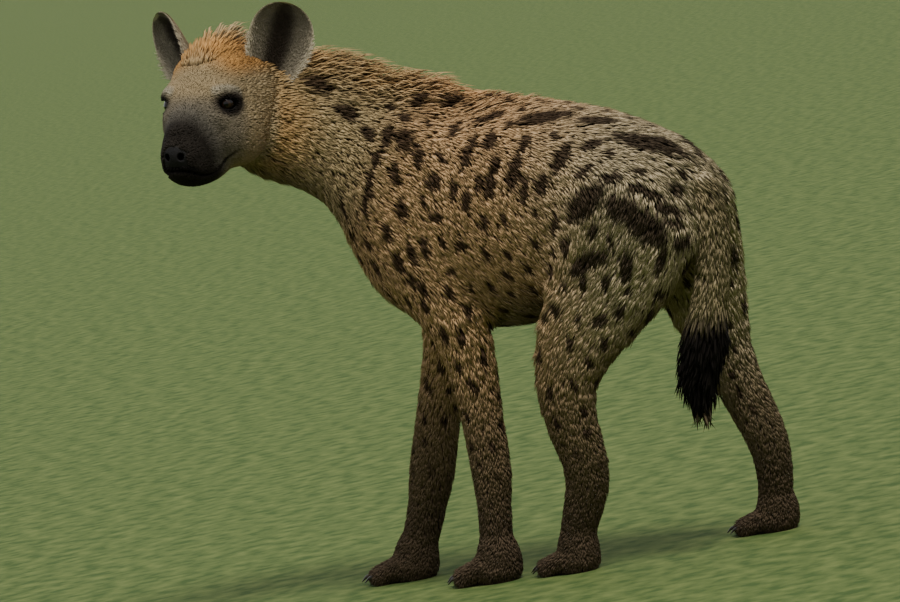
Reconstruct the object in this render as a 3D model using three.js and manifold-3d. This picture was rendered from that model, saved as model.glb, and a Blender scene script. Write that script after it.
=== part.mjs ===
// A young adult spotted hyena, standing in mid-step and looking back over its left shoulder.
// Life size, in millimetres, +Z up. The animal's body points along -Y and its left side is +X.
// The floor is z = 0, and the origin lies under the middle of the whole animal.
import * as THREE from "three";
import { mergeVertices } from "three/addons/utils/BufferGeometryUtils.js";
import Module from "manifold-3d";

const wasm = await Module();
wasm.setup();

// Driving dimensions.
const GAP = 0.3; // left between neighbouring pieces
const WELDS = [0.004, 0.01, 0.02, 0.035, 0.05, 0.08]; // tried in turn until a piece is closed
const GRID_TRIES = 12;
const GRID_SHIFT = 0.13; // in cells
const CELL = { head: 13.5, neck: 25, torso: 36, leg: 23, paw: 14.5, tail: 21 };
const BLEND = { muscle: 45, neck: 60, head: 26, leg: 34, toe: 5 };

// The head's own frame: origin midway between the eyes, and axes along the nose, to its left and up.
const EYE_MIDDLE = [240, -232, 804];
const HEAD_YAW = 11; // degrees from +X towards +Y
const HEAD_ROLL = 7; // degrees, left ear down

const EYE = { at: [-1, 46, 1], radius: 13.5, look: [0.72, 0.66, 0.06] };
const LID = { thick: 3.4, reach: 18, half_length: 15.5, half_height: 9 };
const NOSTRIL = { at: [104, 10, -69], radii: [9, 4.5, 5.5] };
const MOUTH = [
  [100, 0, -88], [92, 18, -92], [72, 30, -99], [46, 38, -102], [22, 44, -97], [6, 48, -86], [-6, 52, -72],
];
const MOUTH_DEPTH = 1.6;
const MOUTH_STEPS = 26;
const EAR = {
  base: [-112, 73, 25], length: 126, half_width: 51, thick: 7, cup: 34, curl: 12, bow: 3,
  widest: 0.56, root_taper: 0.42, rows: 10, columns: 10,
  splay: { left: 15, right: 29 }, turn: { left: 28, right: 46 }, lean_back: { left: -0.12, right: -0.4 },
};

// Stations of a loft are [x, y, z, half width across, half depth].
const TORSO = [
  [26, -42, 546, 62, 84],
  [27, -16, 562, 92, 126],
  [26, 10, 564, 112, 164],
  [22, 70, 560, 124, 178],
  [16, 140, 556, 130, 179],
  [10, 215, 554, 132, 170],
  [4, 290, 554, 124, 148],
  [0, 350, 550, 112, 124],
  [-3, 398, 538, 100, 106],
  [-5, 418, 520, 74, 82],
];
const NECK = [
  [116, -246, 792, 74, 74],
  [88, -244, 778, 80, 84],
  [60, -214, 752, 86, 92],
  [42, -160, 730, 92, 98],
  [32, -98, 698, 100, 106],
  [27, -26, 654, 106, 122],
];

// Legs run from inside the body down to the ankle. half width across, half depth fore and aft.
const LEG = {
  front_left: {
    path: [
      [84, -12, 592, 44, 70],
      [92, 28, 500, 46, 72],
      [98, 72, 410, 42, 56],
      [101, 86, 340, 33, 44],
      [108, 92, 250, 27, 35],
      [114, 95, 168, 26, 32],
      [117, 91, 120, 23, 27],
      [119, 84, 62, 22, 26],
      [120, 76, 34, 22, 26],
    ],
    paw: { at: [120, 68], turn: -4, size: 1.06 },
    box: { centre: [96, 50, 192], size: [124, 200, 386] },
  },
  front_right: {
    path: [
      [-40, -18, 580, 44, 64],
      [-44, -18, 490, 46, 62],
      [-40, -28, 410, 42, 54],
      [-34, -46, 345, 33, 43],
      [-22, -76, 250, 29, 38],
      [-12, -100, 168, 29, 38],
      [-8, -116, 120, 26, 32],
      [-4, -138, 68, 24, 29],
      [-2, -156, 38, 24, 27],
    ],
    paw: { at: [-1, -170], turn: 4, size: 1.06 },
    box: { centre: [-42, -90, 192], size: [118, 220, 386] },
  },
  hind_left: {
    path: [
      [62, 408, 520, 62, 104],
      [84, 352, 440, 58, 102],
      [104, 292, 362, 46, 76],
      [116, 262, 296, 37, 54],
      [116, 258, 230, 31, 43],
      [110, 264, 172, 28, 38],
      [104, 256, 128, 26, 35],
      [101, 232, 80, 24, 29],
      [100, 216, 42, 23, 26],
    ],
    paw: { at: [100, 204], turn: -3, size: 0.95 },
    box: { centre: [98, 320, 212], size: [176, 274, 436] },
  },
  hind_right: {
    path: [
      [-64, 400, 524, 60, 90],
      [-82, 400, 440, 57, 90],
      [-96, 404, 362, 46, 72],
      [-102, 412, 296, 36, 52],
      [-104, 432, 230, 29, 40],
      [-106, 452, 172, 27, 36],
      [-110, 460, 128, 24, 33],
      [-115, 456, 80, 23, 28],
      [-118, 446, 42, 22, 25],
    ],
    paw: { at: [-119, 434], turn: 3, size: 0.95 },
    box: { centre: [-100, 400, 212], size: [164, 320, 436] },
  },
};
const PAW_SPAN = { side: 70, front: 90, back: 80 }; // searched round a paw's middle
const PAW_TOP = 58; // height of the cut between paw and leg
const CLAW = { radius: 4.2, length: 17, drop: 6, sunk: 9, height: 12, around: 6 };
const TAIL = [
  [0, 455, 574, 26, 26],
  [5, 489, 550, 25, 25],
  [12, 503, 506, 26, 25],
  [26, 500, 430, 28, 25],
  [42, 480, 345, 31, 28],
  [48, 460, 285, 27, 25],
  [49, 455, 245, 17, 16],
];

// The mane follows the top line from the crown to the back; each point is [x, y, z], near the skin.
const CREST = [
  [206, -236, 864], [158, -240, 878], [118, -246, 880], [84, -240, 866], [56, -208, 842], [42, -150, 818],
  [32, -84, 790], [28, -10, 762], [26, 60, 740], [20, 130, 735], [16, 190, 730],
];
const MANE = {
  steps: 21, rows: [-1, 0, 1], row_width: 21, length: 74, rise: 40, half_width: 15, half_thick: 5, sunk: 16,
  narrow_until: 7, narrow: 0.55, first_rise: 0.45, full_from: 0.12, last_rise: 0.28,
  fade_from: 0.745, jitter: 0.16, row_jitter: 0.2,
};
// The brush: rows of locks round the lower tail, hanging down.
const BRUSH = {
  from: 0.6, to: 0.95, steps: 5, around: 6, length: 70, rise: 13, half_width: 12, half_thick: 5, sunk: 14,
  jitter: 0.16,
};
const SEED = 11;

// Shoulder blades and haunches, as [centre, radii, turn about X in degrees].
const MUSCLES = [
  [[86, 8, 590], [50, 78, 128], -18],
  [[-36, -22, 590], [50, 78, 128], -18],
  [[68, 378, 508], [60, 86, 112], 24],
  [[-70, 386, 508], [60, 86, 112], 14],
];

// Vectors and smooth fields. A field is below zero inside the animal.
const vec = (a) => new THREE.Vector3(...a);
const radians = THREE.MathUtils.degToRad;
const clamp = THREE.MathUtils.clamp;

function smoothMin(a, b, k) {
  const h = Math.max(k - Math.abs(a - b), 0) / k;
  return Math.min(a, b) - 0.25 * h * h * k;
}

function smoothMax(a, b, k) {
  return -smoothMin(-a, -b, k);
}

function ellipsoid(centre, radii, turn = 0) {
  const c = Math.cos(radians(turn));
  const s = Math.sin(radians(turn));
  return (x, y, z) => {
    const dx = x - centre[0];
    const dy = y - centre[1];
    const dz = z - centre[2];
    const px = dx / radii[0];
    const py = (c * dy + s * dz) / radii[1];
    const pz = (c * dz - s * dy) / radii[2];
    const k0 = Math.hypot(px, py, pz);
    const k1 = Math.hypot(px / radii[0], py / radii[1], pz / radii[2]);
    return k1 > 0 ? (k0 * (k0 - 1)) / k1 : -Math.min(...radii);
  };
}

// A tube of changing elliptical section along a smooth path through its stations.
function loft(stations, side, steps = 3) {
  const count = (stations.length - 1) * steps;
  const curve = new THREE.CatmullRomCurve3(stations.map((s) => new THREE.Vector3(s[0], s[1], s[2])));
  const sizes = new THREE.CatmullRomCurve3(stations.map((s) => new THREE.Vector3(s[3], s[4], 0)));
  const samples = [];
  for (let i = 0; i <= count; i++) {
    const t = i / count;
    const tangent = curve.getTangent(t);
    const across = side.clone().addScaledVector(tangent, -side.dot(tangent)).normalize();
    const depth = tangent.clone().cross(across);
    const size = sizes.getPoint(t);
    samples.push({ p: curve.getPoint(t), tangent, across, depth, w: size.x, h: size.y });
  }
  const box = new THREE.Box3();
  for (const s of samples) box.expandByPoint(s.p);
  const reach = Math.max(...samples.map((s) => Math.max(s.w, s.h)));
  const probe = new THREE.Vector3();
  return (x, y, z) => {
    const far = box.distanceToPoint(probe.set(x, y, z)) - reach;
    if (far > 80) return far;
    let best = Infinity;
    for (let i = 0; i < count; i++) {
      const a = samples[i];
      const b = samples[i + 1];
      const ex = b.p.x - a.p.x;
      const ey = b.p.y - a.p.y;
      const ez = b.p.z - a.p.z;
      const rx = x - a.p.x;
      const ry = y - a.p.y;
      const rz = z - a.p.z;
      const t = clamp((rx * ex + ry * ey + rz * ez) / (ex * ex + ey * ey + ez * ez), 0, 1);
      const qx = rx - t * ex;
      const qy = ry - t * ey;
      const qz = rz - t * ez;
      const w = a.w + t * (b.w - a.w);
      const h = a.h + t * (b.h - a.h);
      const m = Math.min(w, h);
      const blend = (from, to) => from + t * (to - from);
      const mix = (u, v) => qx * blend(u.x, v.x) + qy * blend(u.y, v.y) + qz * blend(u.z, v.z);
      const u = mix(a.across, b.across) / w;
      const v = mix(a.depth, b.depth) / h;
      const along = mix(a.tangent, b.tangent) / m;
      best = Math.min(best, (Math.sqrt(u * u + v * v + along * along) - 1) * m);
    }
    return best;
  };
}

// The head's axes in the animal's frame.
const yaw = radians(HEAD_YAW);
const roll = radians(HEAD_ROLL);
const nose = vec([Math.cos(yaw), Math.sin(yaw), 0]);
const upright = vec([0, 0, 1]);
const flatLeft = upright.clone().cross(nose);
const left = flatLeft.clone().multiplyScalar(Math.cos(roll)).addScaledVector(upright, -Math.sin(roll));
const crown = upright.clone().multiplyScalar(Math.cos(roll)).addScaledVector(flatLeft, Math.sin(roll));
const headMatrix = new THREE.Matrix4().makeBasis(nose, left, crown).setPosition(vec(EYE_MIDDLE));
const headInverse = headMatrix.clone().invert();
const headPoint = (f, l, u) => vec([f, l, u]).applyMatrix4(headMatrix);
const headDirection = (f, l, u) => vec([f, l, u]).transformDirection(headMatrix);

// The skull and muzzle, as stations [forward, 0, up, half width, half height] in the head's frame.
const SKULL = [
  [-140, 0, 4, 60, 66],
  [-105, 0, -2, 69, 80],
  [-65, 0, -12, 73, 87],
  [-25, 0, -30, 64, 80],
  [8, 0, -45, 49, 66],
  [36, 0, -59, 41, 54],
  [58, 0, -68, 36, 45],
  [76, 0, -75, 30, 35],
];
const skull = loft(SKULL, vec([0, 1, 0]), 3);
// Paired forms of the face: [forward, out, up], radii, and how the form joins (+ adds, - hollows).
const FACE = [
  [[-54, 44, -44], [54, 34, 50], 26],
  [[-12, 38, 18], [27, 21, 13], 16],
  [[56, 17, -88], [28, 15, 19], 12],
  [[12, 34, -19], [24, 15, 16], 12],
];
const MIDLINE = [
  [[83, 0, -65], [22, 21, 19], 12],
  [[93, 0, -67], [14, 19, 16], 6],
  [[47, 0, -100], [32, 21, 14], 12],
  [[44, 0, -34], [48, 19, 15], 16],
  [[12, 0, -95], [54, 34, 23], 16],
  [[-66, 0, 42], [56, 54, 36], 26],
];
const paired = FACE.map(([c, r, k]) => [ellipsoid(c, r), k]);
const middle = MIDLINE.map(([c, r, k]) => [ellipsoid(c, r), k]);
const orbit = ellipsoid([16, 60, 2], [18, 14, 13]);

function headLocal(f, l, u) {
  const out = Math.abs(l);
  let d = skull(f, l, u);
  for (const [form, k] of paired) d = smoothMin(d, form(f, out, u), k);
  for (const [form, k] of middle) d = smoothMin(d, form(f, l, u), k);
  return smoothMax(d, -orbit(f, out, u), 8);
}

const headProbe = new THREE.Vector3();
function headField(x, y, z) {
  headProbe.set(x, y, z).applyMatrix4(headInverse);
  return headLocal(headProbe.x, headProbe.y, headProbe.z);
}

const torsoField = loft(TORSO, vec([1, 0, 0]), 3);
const neckField = loft(NECK, vec([0.55, 0.8, 0]), 3);
const tailField = loft(TAIL, vec([1, 0, 0]), 3);
const muscleFields = MUSCLES.map(([c, r, t]) => ellipsoid(c, r, t));
const legNames = Object.keys(LEG);
const legFields = Object.fromEntries(legNames.map((n) => [n, loft(LEG[n].path, vec([1, 0, 0]), 2)]));

// A paw with four toes, in its own frame: toes along -y, floor at z = 0.
const TOES = [
  { x: -25, root: -4, tip: -34, r: 13.5 },
  { x: -9, root: -14, tip: -48, r: 14.5 },
  { x: 9, root: -14, tip: -48, r: 14.5 },
  { x: 25, root: -4, tip: -34, r: 13.5 },
];
const TOE_HEIGHT = 15;

function capsule(a, b, ra, rb) {
  const ex = b[0] - a[0];
  const ey = b[1] - a[1];
  const ez = b[2] - a[2];
  const ll = ex * ex + ey * ey + ez * ez;
  return (x, y, z) => {
    const rx = x - a[0];
    const ry = y - a[1];
    const rz = z - a[2];
    const t = clamp((rx * ex + ry * ey + rz * ez) / ll, 0, 1);
    return Math.hypot(rx - t * ex, ry - t * ey, rz - t * ez) - ra - t * (rb - ra);
  };
}

const pawPad = ellipsoid([0, 8, 17], [33, 34, 24]);
const pawBack = ellipsoid([0, 18, 34], [27, 30, 34]);
const toeFields = TOES.map((t) =>
  capsule([t.x * 0.8, t.root, TOE_HEIGHT + 8], [t.x * 1.08, t.tip, TOE_HEIGHT - 3], t.r + 1, t.r),
);

function pawLocal(x, y, z) {
  const body = smoothMin(pawPad(x, y, z), pawBack(x, y, z), 14);
  const toes = toeFields.reduce((d, toe) => smoothMin(d, toe(x, y, z), BLEND.toe), Infinity);
  return smoothMin(body, toes, 10);
}

function pawField({ at, turn, size }) {
  const c = Math.cos(radians(turn));
  const s = Math.sin(radians(turn));
  return (x, y, z) => {
    const dx = (x - at[0]) / size;
    const dy = (y - at[1]) / size;
    if (Math.hypot(dx, dy, z / size) > 160) return Math.hypot(dx, dy, z / size) - 90;
    return pawLocal(c * dx + s * dy, c * dy - s * dx, z / size) * size;
  };
}
const pawFields = Object.fromEntries(legNames.map((n) => [n, pawField(LEG[n].paw)]));

// The whole animal without ears, eyes, tail and coat.
function body(x, y, z) {
  let d = torsoField(x, y, z);
  for (const m of muscleFields) d = smoothMin(d, m(x, y, z), BLEND.muscle);
  d = smoothMin(d, neckField(x, y, z), BLEND.neck);
  d = smoothMin(d, headField(x, y, z), BLEND.head);
  for (const n of legNames) {
    const leg = smoothMin(legFields[n](x, y, z), pawFields[n](x, y, z), 14);
    d = smoothMin(d, leg, BLEND.leg);
  }
  return d;
}

function gradient(field, p, step) {
  return new THREE.Vector3(
    field(p.x + step, p.y, p.z) - field(p.x - step, p.y, p.z),
    field(p.x, p.y + step, p.z) - field(p.x, p.y - step, p.z),
    field(p.x, p.y, p.z + step) - field(p.x, p.y, p.z - step),
  ).divideScalar(2 * step);
}

// Moves a point along the field's slope until the field there is the given level.
function settle(field, p, to = 0, rounds = 3) {
  for (let i = 0; i < rounds; i++) {
    const g = gradient(field, p, 1);
    p.addScaledVector(g, (to - field(p.x, p.y, p.z)) / Math.max(g.lengthSq(), 0.05));
  }
  return p;
}

// Turns the region lo to hi of a field into a closed mesh: a vertex in each crossed cell, and a quad round
// each crossed edge.
function surface(field, lo, hi, cell) {
  const n = [0, 1, 2].map((i) => Math.ceil((hi[i] - lo[i]) / cell) + 3);
  const start = lo.map((v) => v - cell * 1.5);
  const inner = (x, y, z) =>
    Math.max(lo[0] - x, x - hi[0], lo[1] - y, y - hi[1], lo[2] - z, z - hi[2], field(x, y, z));
  const at = (i, j, k) => (k * n[1] + j) * n[0] + i;
  const value = new Float32Array(n[0] * n[1] * n[2]);
  for (let k = 0; k < n[2]; k++)
    for (let j = 0; j < n[1]; j++)
      for (let i = 0; i < n[0]; i++)
        value[at(i, j, k)] = inner(start[0] + i * cell, start[1] + j * cell, start[2] + k * cell) || 1e-6;
  const corner = [];
  for (let c = 0; c < 8; c++) corner.push([c & 1, (c >> 1) & 1, (c >> 2) & 1]);
  const edges = [];
  for (let a = 0; a < 8; a++)
    for (let b = a + 1; b < 8; b++) if ([1, 2, 4].includes(a ^ b)) edges.push([a, b]);
  const vertex = new Int32Array(value.length).fill(-1);
  const points = [];
  for (let k = 0; k < n[2] - 1; k++)
    for (let j = 0; j < n[1] - 1; j++)
      for (let i = 0; i < n[0] - 1; i++) {
        const v = corner.map(([a, b, c]) => value[at(i + a, j + b, k + c)]);
        const p = new THREE.Vector3();
        let crossed = 0;
        for (const [a, b] of edges) {
          if (v[a] < 0 === v[b] < 0) continue;
          const t = v[a] / (v[a] - v[b]);
          p.x += corner[a][0] + t * (corner[b][0] - corner[a][0]);
          p.y += corner[a][1] + t * (corner[b][1] - corner[a][1]);
          p.z += corner[a][2] + t * (corner[b][2] - corner[a][2]);
          crossed++;
        }
        if (!crossed) continue;
        p.divideScalar(crossed).add(vec([i, j, k])).multiplyScalar(cell).add(vec(start));
        const near = settle(field, p.clone(), 0, 2);
        if (near.distanceTo(p) < cell * 0.7) p.copy(near);
        vertex[at(i, j, k)] = points.length;
        points.push(p);
      }
  const triangles = [];
  const quad = (a, b, c, d, flip) => {
    const [p, q] = flip ? [b, d] : [d, b];
    if (points[a].distanceTo(points[c]) < points[b].distanceTo(points[d])) triangles.push(a, p, c, a, c, q);
    else triangles.push(a, p, q, q, p, c);
  };
  for (let k = 1; k < n[2] - 1; k++)
    for (let j = 1; j < n[1] - 1; j++)
      for (let i = 1; i < n[0] - 1; i++) {
        const here = value[at(i, j, k)] < 0;
        const v = (a, b, c) => vertex[at(i - a, j - b, k - c)];
        if (here !== value[at(i + 1, j, k)] < 0) quad(v(0, 0, 0), v(0, 1, 0), v(0, 1, 1), v(0, 0, 1), !here);
        if (here !== value[at(i, j + 1, k)] < 0) quad(v(0, 0, 0), v(0, 0, 1), v(1, 0, 1), v(1, 0, 0), !here);
        if (here !== value[at(i, j, k + 1)] < 0) quad(v(0, 0, 0), v(1, 0, 0), v(1, 1, 0), v(0, 1, 0), !here);
      }
  const geometry = new THREE.BufferGeometry();
  const flat = points.flatMap((p) => p.toArray());
  geometry.setAttribute("position", new THREE.Float32BufferAttribute(flat, 3));
  return geometry.setIndex(triangles);
}

// Between a three.js geometry and a solid that can be joined and cut.
function solid(geometry) {
  const plain = geometry.clone();
  for (const name of Object.keys(plain.attributes)) if (name !== "position") plain.deleteAttribute(name);
  const merged = mergeVertices(plain, 1e-4);
  const mesh = new wasm.Mesh({
    numProp: 3,
    vertProperties: new Float32Array(merged.attributes.position.array),
    triVerts: new Uint32Array(merged.index.array),
  });
  const made = new wasm.Manifold(mesh);
  if (made.volume() >= 0) return made;
  const turned = new Uint32Array(mesh.triVerts);
  for (let i = 0; i < turned.length; i += 3) [turned[i + 1], turned[i + 2]] = [turned[i + 2], turned[i + 1]];
  mesh.triVerts = turned;
  return new wasm.Manifold(mesh);
}

// Corners closer than the weld distance become one, and triangles that this flattens or folds together go.
function welded(loose, distance) {
  const geometry = mergeVertices(loose, distance);
  const index = geometry.index.array;
  const kept = new Map();
  for (let i = 0; i < index.length; i += 3) {
    const triangle = [...index.slice(i, i + 3)];
    if (new Set(triangle).size < 3) continue;
    const key = [...triangle].sort((a, b) => a - b).join();
    if (kept.has(key)) kept.delete(key);
    else kept.set(key, triangle);
  }
  return geometry.setIndex([...kept.values()].flat());
}

function isClosed(geometry) {
  const index = geometry.index.array;
  const edges = new Set();
  for (let i = 0; i < index.length; i++) {
    const next = i % 3 === 2 ? i - 2 : i + 1;
    const edge = `${index[i]},${index[next]}`;
    if (edges.has(edge)) return false;
    edges.add(edge);
  }
  return [...edges].every((edge) => edges.has(edge.split(",").reverse().join()));
}

function geometryOf(made) {
  const { vertProperties, triVerts, numProp } = made.getMesh();
  const loose = new THREE.BufferGeometry();
  const positions = new Float32Array((vertProperties.length / numProp) * 3);
  for (let i = 0; i < positions.length / 3; i++)
    positions.set(vertProperties.subarray(i * numProp, i * numProp + 3), i * 3);
  loose.setAttribute("position", new THREE.BufferAttribute(positions, 3));
  loose.setIndex(new THREE.BufferAttribute(new Uint32Array(triVerts), 1));
  const tries = WELDS.map((distance) => welded(loose, distance));
  const geometry = tries.find(isClosed) ?? tries[0];
  geometry.computeVertexNormals();
  return geometry;
}

const largest = (made) => made.decompose().reduce((a, b) => (a.volume() > b.volume() ? a : b));
const join = (pieces) => wasm.Manifold.union(pieces);

// The same surface with each corner moved out by the gap.
function loosened(shape, field) {
  const loose = shape.clone();
  const corners = loose.attributes.position;
  const p = new THREE.Vector3();
  for (let i = 0; i < corners.count; i++) {
    p.fromBufferAttribute(corners, i);
    p.addScaledVector(gradient(field, p, 1).normalize(), GAP);
    corners.setXYZ(i, p.x, p.y, p.z);
  }
  return loose;
}

// The field as a solid, and that solid grown by the gap. A grid that pinches the surface is moved a little.
function fieldSolids(field, lo, hi, cell) {
  for (let attempt = 0; attempt < GRID_TRIES; attempt++) {
    const shift = attempt * cell * GRID_SHIFT;
    const shape = surface(field, lo.map((v) => v - shift), hi, cell);
    if (isClosed(shape)) return [shape, loosened(shape, field)].map((s) => largest(solid(s)));
  }
  throw new Error("no grid closes this surface");
}

function box(centre, size, grow = 0, turn = new THREE.Quaternion()) {
  const g = new THREE.BoxGeometry(size[0] + 2 * grow, size[1] + 2 * grow, size[2] + 2 * grow);
  return solid(g.applyQuaternion(turn).translate(...centre));
}

// Cut planes between nodes: a point on the plane, and its normal towards the piece further from the torso.
const NECK_CUT = { point: vec([30, -88, 668]), normal: vec([0.12, -0.86, 0.5]).normalize() };
const HEAD_CUT = { point: vec([106, -250, 790]), normal: vec([0.85, -0.5, 0.15]).normalize() };

function keepPast(made, cut, side) {
  const normal = cut.normal.clone().multiplyScalar(side);
  return made.trimByPlane(normal.toArray(), normal.dot(cut.point) + GAP / 2);
}

const TORSO_SPAN = [[-170, -200, 330], [200, 600, 830]];
const TAIL_SPAN = [[-60, 400, 150], [110, 580, 640]];
const HEAD_SPAN = [[60, -400, 620], [400, -60, 940]];
const NECK_SPAN = [[-110, -370, 440], [230, 60, 920]];

const onFloor = (made) => made.trimByPlane([0, 0, 1], 0);
const meshes = new Map();

let randomState = SEED;
function random() {
  randomState = (randomState * 1664525 + 1013904223) % 4294967296;
  return randomState / 4294967296;
}
const about = (value, spread) => value * (1 + spread * (2 * random() - 1));

// A lock of hair: a flat tapered blade that leaves the skin and bends over along the lie of the coat.
function lock(root, normal, lie, size) {
  const across = normal.clone().cross(lie).normalize();
  const reach = (up, on) => root.clone().addScaledVector(normal, up).addScaledVector(lie, on);
  const line = [
    reach(-size.sunk, -size.length * 0.1),
    reach(size.rise * 0.55, size.length * 0.2),
    reach(size.rise * 0.95, size.length * 0.6),
    reach(size.rise, size.length),
  ];
  const spread = [0.85, 1, 0.72];
  const positions = [];
  for (let i = 0; i < 3; i++) {
    const along = line[i + 1].clone().sub(line[i]).normalize();
    const flat = across.clone().cross(along).normalize();
    const corners = [[1, 0], [0, 1], [-1, 0], [0, -1]];
    for (const [a, b] of corners) {
      const p = line[i].clone().addScaledVector(across, a * size.half_width * spread[i]);
      positions.push(...p.addScaledVector(flat, b * size.half_thick * spread[i]).toArray());
    }
  }
  positions.push(...line[3].toArray());
  const triangles = [0, 2, 1, 0, 3, 2];
  for (let ring = 0; ring < 2; ring++)
    for (let i = 0; i < 4; i++) {
      const [a, b] = [ring * 4 + i, ring * 4 + ((i + 1) % 4)];
      triangles.push(a, b, b + 4, a, b + 4, a + 4);
    }
  for (let i = 0; i < 4; i++) triangles.push(8 + i, 8 + ((i + 1) % 4), 12);
  const g = new THREE.BufferGeometry();
  g.setAttribute("position", new THREE.Float32BufferAttribute(positions, 3));
  return solid(g.setIndex(triangles));
}

function maneLocks() {
  const line = new THREE.CatmullRomCurve3(CREST.map(vec));
  const locks = [];
  for (let i = 0; i < MANE.steps; i++)
    for (const row of MANE.rows) {
      const narrow = i < MANE.narrow_until;
      if (narrow && row !== 0) continue;
      const t = (i + (row === 0 ? 0 : 0.5)) / MANE.steps;
      const tangent = line.getTangent(t);
      const sideways = tangent.clone().cross(vec([0, 0, 1])).normalize();
      const aside = row * about(MANE.row_width, MANE.row_jitter);
      const root = settle(body, line.getPoint(t).addScaledVector(sideways, aside), 0, 4);
      const normal = gradient(body, root, 2).normalize();
      const lie = tangent.addScaledVector(normal, -tangent.dot(normal)).normalize();
      const start = MANE.first_rise + (1 - MANE.first_rise) * Math.min(t / MANE.full_from, 1);
      const end = Math.max(t - MANE.fade_from, 0) / (1 - MANE.fade_from);
      const fade = start * (1 - (1 - MANE.last_rise) * end);
      const width = narrow ? MANE.narrow : 1;
      locks.push(lock(root, normal, lie, {
        length: about(MANE.length, MANE.jitter), rise: about(MANE.rise, MANE.jitter) * fade,
        half_width: about(MANE.half_width, MANE.jitter) * width, half_thick: MANE.half_thick, sunk: MANE.sunk,
      }));
    }
  return join(locks);
}

function brushLocks() {
  const line = new THREE.CatmullRomCurve3(TAIL.map((s) => vec(s.slice(0, 3))));
  const locks = [];
  for (let i = 0; i < BRUSH.steps; i++)
    for (let j = 0; j < BRUSH.around; j++) {
      const t = BRUSH.from + ((BRUSH.to - BRUSH.from) * i) / (BRUSH.steps - 1);
      const angle = ((j + (i % 2) / 2) / BRUSH.around) * Math.PI * 2;
      const out = vec([Math.cos(angle), Math.sin(angle), 0]);
      const root = settle(tailField, line.getPoint(t).addScaledVector(out, 20), 0, 4);
      const lie = line.getTangent(t);
      const normal = out.addScaledVector(lie, -out.dot(lie)).normalize();
      locks.push(lock(root, normal, lie, {
        length: about(BRUSH.length, BRUSH.jitter), rise: about(BRUSH.rise, BRUSH.jitter),
        half_width: BRUSH.half_width, half_thick: BRUSH.half_thick, sunk: BRUSH.sunk,
      }));
    }
  return join(locks);
}
const mane = maneLocks();

// Torso, neck and head share one outline and meet at flat cuts.
const legBox = (name, grow) => box(LEG[name].box.centre, LEG[name].box.size, grow);
const [torsoBody, torsoGrown] = fieldSolids(body, ...TORSO_SPAN, CELL.torso);
const torsoWhole = torsoBody.add(mane);
let torso = keepPast(torsoWhole, NECK_CUT, -1);
for (const name of legNames) torso = torso.subtract(legBox(name, GAP));
meshes.set("torso", largest(torso));

const [neckBody, neckLoose] = fieldSolids(body, ...NECK_SPAN, CELL.neck);
const neck = keepPast(neckBody.add(mane), NECK_CUT, 1);
meshes.set("neck", largest(keepPast(neck, HEAD_CUT, -1)));

// An ellipsoid as a solid, in the head's frame.
function headBall(centre, radii, detail = 2, look = [1, 0, 0]) {
  const turn = new THREE.Quaternion().setFromUnitVectors(vec([1, 0, 0]), vec(look).normalize());
  const g = new THREE.IcosahedronGeometry(1, detail).scale(...radii).applyQuaternion(turn);
  return solid(g.translate(...centre).applyMatrix4(headMatrix));
}

// A lid is a shell over the eyeball with an almond-shaped opening.
const eyeAt = (side) => [EYE.at[0], side * EYE.at[1], EYE.at[2]];
const lookOf = (side) => [EYE.look[0], side * EYE.look[1], EYE.look[2]];
function lids(side) {
  const shell = headBall(eyeAt(side), Array(3).fill(EYE.radius + LID.thick), 3);
  const opening = vec(eyeAt(side)).addScaledVector(vec(lookOf(side)).normalize(), LID.reach).toArray();
  return shell.subtract(headBall(opening, [LID.reach, LID.half_length, LID.half_height], 2, lookOf(side)));
}

// The closed mouth is a groove along the lips, from one corner round the front to the other.
function mouthLine() {
  const half = MOUTH.map(([f, l, u]) => vec([f, l, u]));
  const mirrored = MOUTH.slice(1).map(([f, l, u]) => vec([f, -l, u]));
  const path = new THREE.CatmullRomCurve3([...half.reverse(), ...mirrored]);
  const onSkin = new THREE.CatmullRomCurve3(
    path.getPoints(MOUTH_STEPS).map((p) => settle(headLocal, p, -MOUTH_DEPTH, 4)),
  );
  const g = new THREE.TubeGeometry(onSkin, MOUTH_STEPS * 1.5, MOUTH_DEPTH * 1.6, 4, false);
  return tubeSolid(g, 4, MOUTH_STEPS * 1.5);
}

// Caps the open ends of a TubeGeometry, whose rings each have one repeated vertex.
function tubeSolid(g, around, along) {
  const ring = around + 1;
  const index = [...g.index.array];
  for (let i = 1; i < around - 1; i++) {
    index.push(0, i, i + 1);
    const last = along * ring;
    index.push(last, last + i + 1, last + i);
  }
  g.setIndex(index);
  return solid(g);
}

const [headBody, headLoose] = fieldSolids(body, ...HEAD_SPAN, CELL.head);
let head = keepPast(headBody.add(mane), HEAD_CUT, 1);
const headGrown = keepPast(headLoose, HEAD_CUT, 1);
const eyeball = (side, grow) => headBall(eyeAt(side), Array(3).fill(EYE.radius + grow), 2);
const sides = { left: 1, right: -1 };
for (const side of Object.values(sides)) head = head.add(lids(side));
for (const side of Object.values(sides)) {
  head = head.subtract(eyeball(side, GAP));
  head = head.subtract(headBall([NOSTRIL.at[0], side * NOSTRIL.at[1], NOSTRIL.at[2]], NOSTRIL.radii, 1));
}
head = head.subtract(mouthLine());
meshes.set("head", largest(head));
for (const [name, side] of Object.entries(sides)) meshes.set(`eye_${name}`, eyeball(side, 0));

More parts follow.
